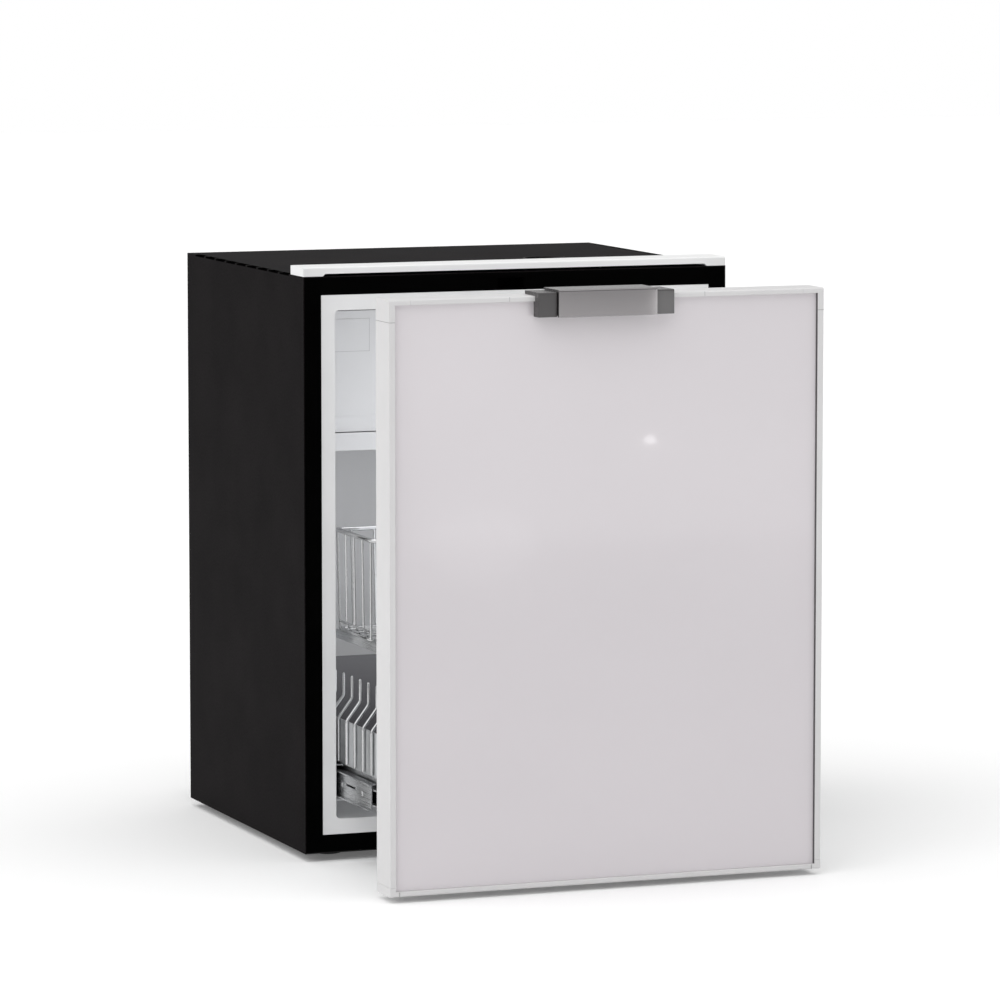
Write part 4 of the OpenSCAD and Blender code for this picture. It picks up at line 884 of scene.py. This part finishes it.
# Cabinet
def fold_slots():
    """Dark strips over the slots along the fold of the case's top: painted shade for the depth of the
    slots.
    """
    count, first, pitch, length, proud = 9, 43, 33, 28, 0.02
    top = CASE.z1 + proud
    bm = bmesh.new()
    for s in (-1, 1):
        for i in range(count):
            y = CASE.y0 + first + i * pitch
            a, b = sided(s, CASE.x1 - 5.4, CASE.x1 - 0.1)
            slab(bm, (a, y, CASE.z1 - 0.1), (b, y + length, top))
            a, b = sided(s, CASE.x1 - 0.5, CASE.x1 + proud)
            slab(bm, (a, y, CASE.z1 - 1.7), (b, y + length, top))
    finish_piece("fold_slots", bm, "slot", "cabinet")


def inside_lines():
    """A dark strip under the liner's ceiling, painted shadow for the gap there, and grey lines along the
    right and bottom edges of the pad on the flap, painted shade at the pad's edges.
    """
    half, ceiling = 184, Box("freezer_frame").z1
    bm = bmesh.new()
    # Painted shadow: a dark strip in the gap under the ceiling
    slab(bm, (-half, CASE.y0 + 1.5, ceiling - 0.7), (half, CASE.y0 + 4, ceiling + 0.1), 0.2)
    finish_piece("ceiling_gap_painted_shadow", bm, "seal_and_painted_shade", "cabinet")
    y = Box("freezer_flap").y0 - 0.02
    left, right, low, high, line, deep = -164.1, -102.9, 483.2, 515.6, 0.4, 0.7
    bm = bmesh.new()
    # Painted shade: grey lines along the pad's right and bottom edges only
    slab(bm, (right - line, y, low + 0.2), (right, y + deep, high))
    slab(bm, (left, y, low), (right, y + deep, low + line))
    finish_piece("pad_edge_painted_shade", bm, "outline", "flap")


def lamp_lens():
    """A frosted cover with eight ribs."""
    box, rib, pitch = Box("lamp_lens"), 2.6, 4.4
    bm = bmesh.new()
    prism(bm, rounded((box.y0, box.z0), (box.y1, box.z1), 3), "x", box.x1 - 1.8, box.x1, 0.4)
    for i in range(8):
        y = box.y0 + 3.4 + pitch * i
        ridge = rounded((y, box.z0 + 2.5), (y + rib, box.z1 - 2.5), 1.2)
        prism(bm, ridge, "x", box.x0, box.x0 + 1.8, 0.6)
    finish_piece("lamp_cover", bm, "lens", "cabinet", ["lamp_lens"])


def thermostat_knob():
    """A fluted dial with a grip bar, a pointer and a shaft."""
    housing, sides, flutes = Box("thermostat_housing"), 72, 24
    x, y, z = housing.x_mid, housing.y0 - 0.3, housing.z_mid

    def fluted(r, depth):
        return lambda a: r - depth * (0.5 + 0.5 * math.cos(flutes * a))

    bm = bmesh.new()
    outline = [(12.2, 0, 0.35), (12.9, 0.5, 0.35), (12.9, 3.6, 0.35), (12.2, 5.2, 0), (11.4, 5.6, 0)]
    rings = [ring(bm, (x, y - h, z), X_AXIS, Z_AXIS, fluted(r, depth), sides) for r, h, depth in outline]
    bridge(bm, rings)
    bm.faces.new(rings[0])
    bm.faces.new(list(reversed(rings[-1])))
    slab(bm, (x - 2.2, y - 9.7, z - 10.6), (x + 2.2, y - 5.0, z + 10.6), 0.9, 3)
    lathe(bm, [(0, 8), (2.95, 8), (2.95, -0.5), (0, -0.5)], (x, y, z), "y", 24)
    finish_piece("thermostat_dial", bm, "knob", "knob", ["thermostat_knob"], TURNED)
    bm = bmesh.new()
    slab(bm, (x - 0.5, y - 9.95, z + 3), (x + 0.5, y - 9.5, z + 9.5), 0.15, 1)
    finish_piece("dial_pointer", bm, "border", "knob")


def runner_rivets():
    """Two domed rivets on the face of each middle member."""
    x, z, r = 183.6, Box("runner_middle_left").z_mid, 3.1
    for s, side in ((-1, "left"), (1, "right")):
        outline = [(0, -0.3), (r, -0.3), (r, 0.15), (2.6, 0.55), (1.4, 0.8), (0, 0.85)]
        bm = bmesh.new()
        for y in (-242, -184.5):
            lathe(bm, [(radius, s * h) for radius, h in outline], (s * x, y, z), "x", 28)
        finish_piece("rivets_" + side, bm, "chrome", "runner_" + side)


# Back: screws and cooling unit
def pan_head(bm, place, r, h):
    """A pan head with a cross recess, which faces backwards."""
    sides, seat = 24, Vector(place)

    def recess(angle):
        on_arm = min(abs(math.sin(angle)), abs(math.cos(angle))) < 0.3
        return r * (0.52 if on_arm else 0.2)

    steps = ((r, -0.4), (r, h * 0.35), (r * 0.86, h * 0.75), (r * 0.6, h * 0.97), (recess, h),
             (recess, h * 0.45))
    rings = [ring(bm, seat + Y_AXIS * height, X_AXIS, Z_AXIS, radius, sides) for radius, height in steps]
    bridge(bm, rings)
    bm.faces.new(list(reversed(rings[0])))
    bm.faces.new(rings[-1])


def rear_sheet_screws():
    side_x, top_z, r, h = 208, 560, 3.4, 1.9
    places = [(s * side_x, z) for s in (-1, 1) for z in (22, 152, 290, 428, 556)]
    places += [(x, top_z) for x in (-104, 0, 104)]
    bm = bmesh.new()
    for x, z in places:
        pan_head(bm, (x, CASE.y1, z), r, h)
    finish_piece("rear_sheet_screws", bm, "zinc", "cabinet")


# The compressor's axis and shell, the two pipes on its top, the drier, the condenser's coil and the fan
COMP_X, COMP_Y, COMP_Z, COMP_TOP = -110, 229, 39.5, 164.5
PIPE_OUT, PIPE_IN = (-94, 229), (-112, 209)
DRIER_X, DRIER_Z0, DRIER_Z1 = -28.5, 72, 158
COIL = Box("condenser_tube")
COIL_D = 6
COIL_LOW, COIL_HIGH = COIL.z0 + COIL_D / 2, COIL.z1 - COIL_D / 2
FAN_X, FAN_Z = SHROUD.x_mid, SHROUD.z_mid


def pipes():
    """Hot line to the condenser, suction line with its sleeve, and the thin line after the drier."""
    over, y, wall = 176.5, COIL.y_mid, CASE.y1 - 0.5
    suction_x, suction_y, suction_z = -52, 195, 270.5
    thin_z, joint_x = suction_z + 12, SHROUD.x0
    bm = bmesh.new()
    hot = [(*PIPE_OUT, COMP_TOP - 1), (*PIPE_OUT, over), (13, PIPE_OUT[1], over), (13, y, COIL_HIGH),
           (joint_x, y, COIL_HIGH)]
    suction = [(*PIPE_IN, COMP_TOP - 1), (*PIPE_IN, over), (PIPE_IN[0], suction_y, over),
               (suction_x, suction_y, over), (suction_x, suction_y, suction_z),
               (suction_x, wall, suction_z)]
    to_drier = [(joint_x, y, COIL_LOW), (DRIER_X, y, COIL_LOW), (DRIER_X, y, DRIER_Z0)]
    thin_line = [(DRIER_X, y, DRIER_Z1), (DRIER_X, y, thin_z), (DRIER_X, wall, thin_z)]
    for path, d in ((hot, 6), (suction, 8), (to_drier, 6)):
        tube(bm, path, d, 9, sides=14, steps=8)
    tube(bm, thin_line, 2.4, 7, sides=10, steps=6)
    for foot in (PIPE_OUT, PIPE_IN):
        lathe(bm, [(0, -1), (5.6, -1), (5.6, 3), (4.6, 5), (0, 5)], (*foot, COMP_TOP), sides=20)
    finish_piece("copper_pipes", bm, "copper", "cabinet", ["refrigerant_pipes"], PIPE)
    bore, thin, thick, pitch, ridges = 4.2, 7.2, 7.6, 8, 9
    ridge = [(thin, 0)]
    for k in range(ridges):
        ridge += [(thin, 2 + pitch * k), (thick, 4 + pitch * k), (thin, 6 + pitch * k)]
    length = pitch * ridges
    bm = bmesh.new()
    outline = [(bore, 0)] + ridge + [(thin, length), (bore, length), (bore, 0)]
    lathe(bm, outline, (suction_x, suction_y, 186), sides=24)
    finish_piece("suction_line_sleeve", bm, "rubber", "cabinet", (), TURNED)


def condenser():
    """A serpentine of six rows through a pack of thin fins between two end plates."""
    rows, stub_x = 6, SHROUD.x0 - 2
    pitch = (COIL_HIGH - COIL_LOW) / (rows - 1)
    left, right = COIL.x0 + COIL_D / 2, COIL.x1 - COIL_D / 2
    points = []
    for i in range(rows):
        ends = (left, right) if i % 2 == 0 else (right, left)
        points += [(x, COIL.y_mid, COIL_LOW + pitch * i) for x in ends]
    points[0] = (stub_x, *points[0][1:])
    points[-1] = (stub_x, *points[-1][1:])
    bm = bmesh.new()
    tube(bm, points, COIL_D, pitch / 2, sides=14, steps=8)
    finish_piece("condenser_serpentine", bm, "copper", "cabinet", ["condenser_tube"], PIPE)
    box, fin_pitch, fin, plate = Box("condenser_fins"), 2.4, 0.35, 1.2
    bm = bmesh.new()
    for k in range(1, int((box.x1 - box.x0) / fin_pitch)):
        x = box.x0 + fin_pitch * k
        inset = 0.0 if k % 2 else 0.5
        slab(bm, (x, box.y0 + inset, SHROUD.z0), (x + fin, box.y1 - inset, box.z1))
    for x in (box.x0, box.x1 - plate):
        slab(bm, (x, box.y0, box.z0), (x + plate, box.y1, box.z1), 0.3)
    finish_piece("condenser_fin_pack", bm, "fin", "cabinet", ["condenser_fins"])


def fan_blade(bm, centre, start, root, tip):
    """A twisted, curved blade from root to tip; start is its angle round the hub."""
    across, along, half_height = 9, 9, 5.9

    def place(face, i, k):
        u = i / (across - 1)
        v = k / (along - 1) - 0.5
        bulge = 1 - (2 * v) ** 2
        r = root + (tip - root) * u
        pitch = math.radians(46 - 20 * u)
        run = v * (13.5 + 9 * u)
        rise = 1.3 * bulge + face * ((0.95 - 0.35 * u) * math.sqrt(max(0.0, bulge)) + 0.08)
        lift = run * math.sin(pitch) + rise * math.cos(pitch)
        a = start + 0.22 * u * u + (run * math.cos(pitch) - rise * math.sin(pitch)) / r
        lift = max(-half_height, min(half_height, lift))
        return centre + Vector((r * math.cos(a), lift, r * math.sin(a)))

    sections = []
    for i in range(across):
        front = [bm.verts.new(place(1, i, k)) for k in range(along)]
        back = [bm.verts.new(place(-1, i, k)) for k in range(along)]
        sections.append(front + back[::-1])
    bridge(bm, sections)
    for section in (sections[0], sections[-1]):
        for k in range(along - 1):
            bm.faces.new([section[k], section[k + 1], section[-2 - k], section[-1 - k]])


def fan_rotor():
    hub, length, blades, front = 17, 12, 7, Box("fan_rotor").y0
    bm = bmesh.new()
    cup = [(0, 0.4), (hub - 5, 0.4), (hub - 4.6, 0), (hub - 2.5, 0), (hub, 2.5), (hub, length),
           (hub - 1.6, length), (hub - 1.6, 3.5), (4, 3.5), (4, 10), (1.55, 10), (1.55, 1.6), (0, 1.6)]
    lathe(bm, cup, (FAN_X, front, FAN_Z), "y", 48)
    centre = Vector((FAN_X, front + length / 2, FAN_Z))
    for start in turns(blades):
        fan_blade(bm, centre, start, hub - 0.6, 41.2)
    finish_piece("fan_impeller", bm, "plastic", "rotor", ["fan_rotor"], TURNED)


def fan_guard():
    """Four rings and four spokes of wire, with an eyelet and a screw at the end of each spoke."""
    wire_r, eye_at, eye_r = 0.8, 56.57, 3.2
    y = SHROUD.y1 + wire_r
    arms = [math.pi / 4 + a for a in turns(4)]

    def hoop(x, z, r, steps):
        loop = [(x + r * math.cos(a), y, z + r * math.sin(a)) for a in turns(steps)]
        sweep(bm, loop, circle(wire_r, 8), True, up=Y_AXIS)

    def along(a, r, at_y):
        return (FAN_X + r * math.cos(a), at_y, FAN_Z + r * math.sin(a))

    bm = bmesh.new()
    for r in (14, 23, 32, 41):
        hoop(FAN_X, FAN_Z, r, 56)
    for a in arms:
        tube(bm, [along(a, 13.5, y), along(a, eye_at - 3, y)], 2 * wire_r, sides=8)
        x, _, z = along(a, eye_at, y)
        hoop(x, z, eye_r, 20)
    finish_piece("fan_guard_wires", bm, "wire_black", "cabinet", ["fan_guard"], WIRE)
    bm = bmesh.new()
    for a in arms:
        pan_head(bm, along(a, eye_at, SHROUD.y1 + 1.2), 3.0, 2.0)
    finish_piece("fan_screws", bm, "zinc", "cabinet")


def compressor():
    """A domed shell with its seam, a charging stub and a foot plate, and the cover of its terminals."""
    r, d, foot_z, foot = 44, 16, 37.5, 2.5
    quarter = [math.radians(15 * k) for k in range(7)]
    seam = COMP_Z + (COMP_TOP - COMP_Z) * 0.62
    outline = [(0, COMP_Z)]
    outline += [(r - d + d * math.sin(a), COMP_Z + d - d * math.cos(a)) for a in quarter]
    outline += [(r, seam - 1), (r + 1.6, seam), (r + 2, seam + 1.2), (r + 2, seam + 2.8),
                (r + 1.6, seam + 4), (r, seam + 5)]
    outline += [(r - d + d * math.cos(a), COMP_TOP - d + d * math.sin(a)) for a in quarter]
    outline += [(20, COMP_TOP), (18, COMP_TOP + 0.8), (0, COMP_TOP + 0.8)]
    bm = bmesh.new()
    lathe(bm, outline, (COMP_X, COMP_Y, 0), "z", 72)
    lathe(bm, [(0, 155), (4.5, 155), (4.5, 170.6), (3.6, 172.4), (0, 172.4)], (COMP_X - 12, COMP_Y, 0),
          sides=24)
    plate = rounded((COMP_X - r, COMP_Y - r), (COMP_X + r, COMP_Y + r), 9)
    prism(bm, plate, "z", foot_z, foot_z + foot, 0.5)
    finish_piece("compressor_shell", bm, "unit_paint", "cabinet", ["compressor"], TURNED)
    bm = bmesh.new()
    cover = rounded((COMP_Y + 8, 88), (COMP_Y + 42, 128), 4)
    prism(bm, cover, "x", COMP_X - 52, COMP_X - 38, 1.6, 3)
    finish_piece("compressor_terminal_cover", bm, "plastic", "cabinet")


def control_box():
    """Electronics box: a ribbed body, a lid line, ears and screws."""
    box, ear, ribs, rib, pitch = Box("control_box"), 6, 15, 2.2, 6.2
    x0, x1, y0, y1, z0, z1 = box.x0 + ear, box.x1 - ear, box.y0, box.y1, box.z0, box.z1
    bm = bmesh.new()
    slab(bm, (x0, y0, z0), (x1, y1 - 8, z1), 1.2)
    slab(bm, (x0 + 0.8, y1 - 8.6, z0 + 0.8), (x1 - 0.8, y1 - 3.2, z1 - 0.8), 1.0)
    for i in range(ribs):
        x = x0 + 6 + pitch * i
        slab(bm, (x, y1 - 3.6, z0 + 7), (x + rib, y1, z1 - 7), 0.7)
    for x in (box.x0, x1):
        prism(bm, rounded((x, z0 + 23), (x + ear, z0 + 39), 1.5), "y", y0, y0 + 4, 0.5)
    finish_piece("control_box_body", bm, "plastic", "cabinet", ["control_box"])
    bm = bmesh.new()
    for x in (x0 - ear / 2, x1 + ear / 2):
        pan_head(bm, (x, y0 + 4, box.z_mid), 2.5, 2.0)
    for x in (-150, 0, 150):
        pan_head(bm, (x, CASE.y1 + 1.5, 52), 4.5, 3.0)
    finish_piece("cooling_unit_screws", bm, "zinc", "cabinet", ["unit_screws"])


def terminal_block():
    """Four terminals between five walls, each with its screw."""
    box, ways, wall, floor_y = Box("terminal_block"), 4, 1.1, 11
    pitch = (box.z1 - box.z0) / ways
    bm = bmesh.new()
    slab(bm, (box.x0, box.y0, box.z0), (box.x1, box.y0 + floor_y, box.z1), 0.8)
    for i in range(ways + 1):
        z = box.z0 + pitch * i
        low, high = max(box.z0, z - wall), min(box.z1, z + wall)
        slab(bm, (box.x0, box.y0 + floor_y - 1, low), (box.x1, box.y1, high), 0.4)
    finish_piece("terminal_strip", bm, "blue", "cabinet", ["terminal_block"])
    bm = bmesh.new()
    for i in range(ways):
        pan_head(bm, (box.x_mid, box.y0 + floor_y, box.z0 + pitch * (i + 0.5)), 3.2, 2.2)
    finish_piece("terminal_screws", bm, "zinc", "cabinet")


for draw in (upper_basket, basket_divider, runner_rivets, fold_slots, joint_lines, panel_seal_painted_shade,
             inside_lines, bin_fingers, door_gasket, latch_spring, pipes, condenser, fan_rotor, fan_guard,
             compressor, control_box, terminal_block, thermostat_knob, lamp_lens, rear_sheet_screws):
    draw()
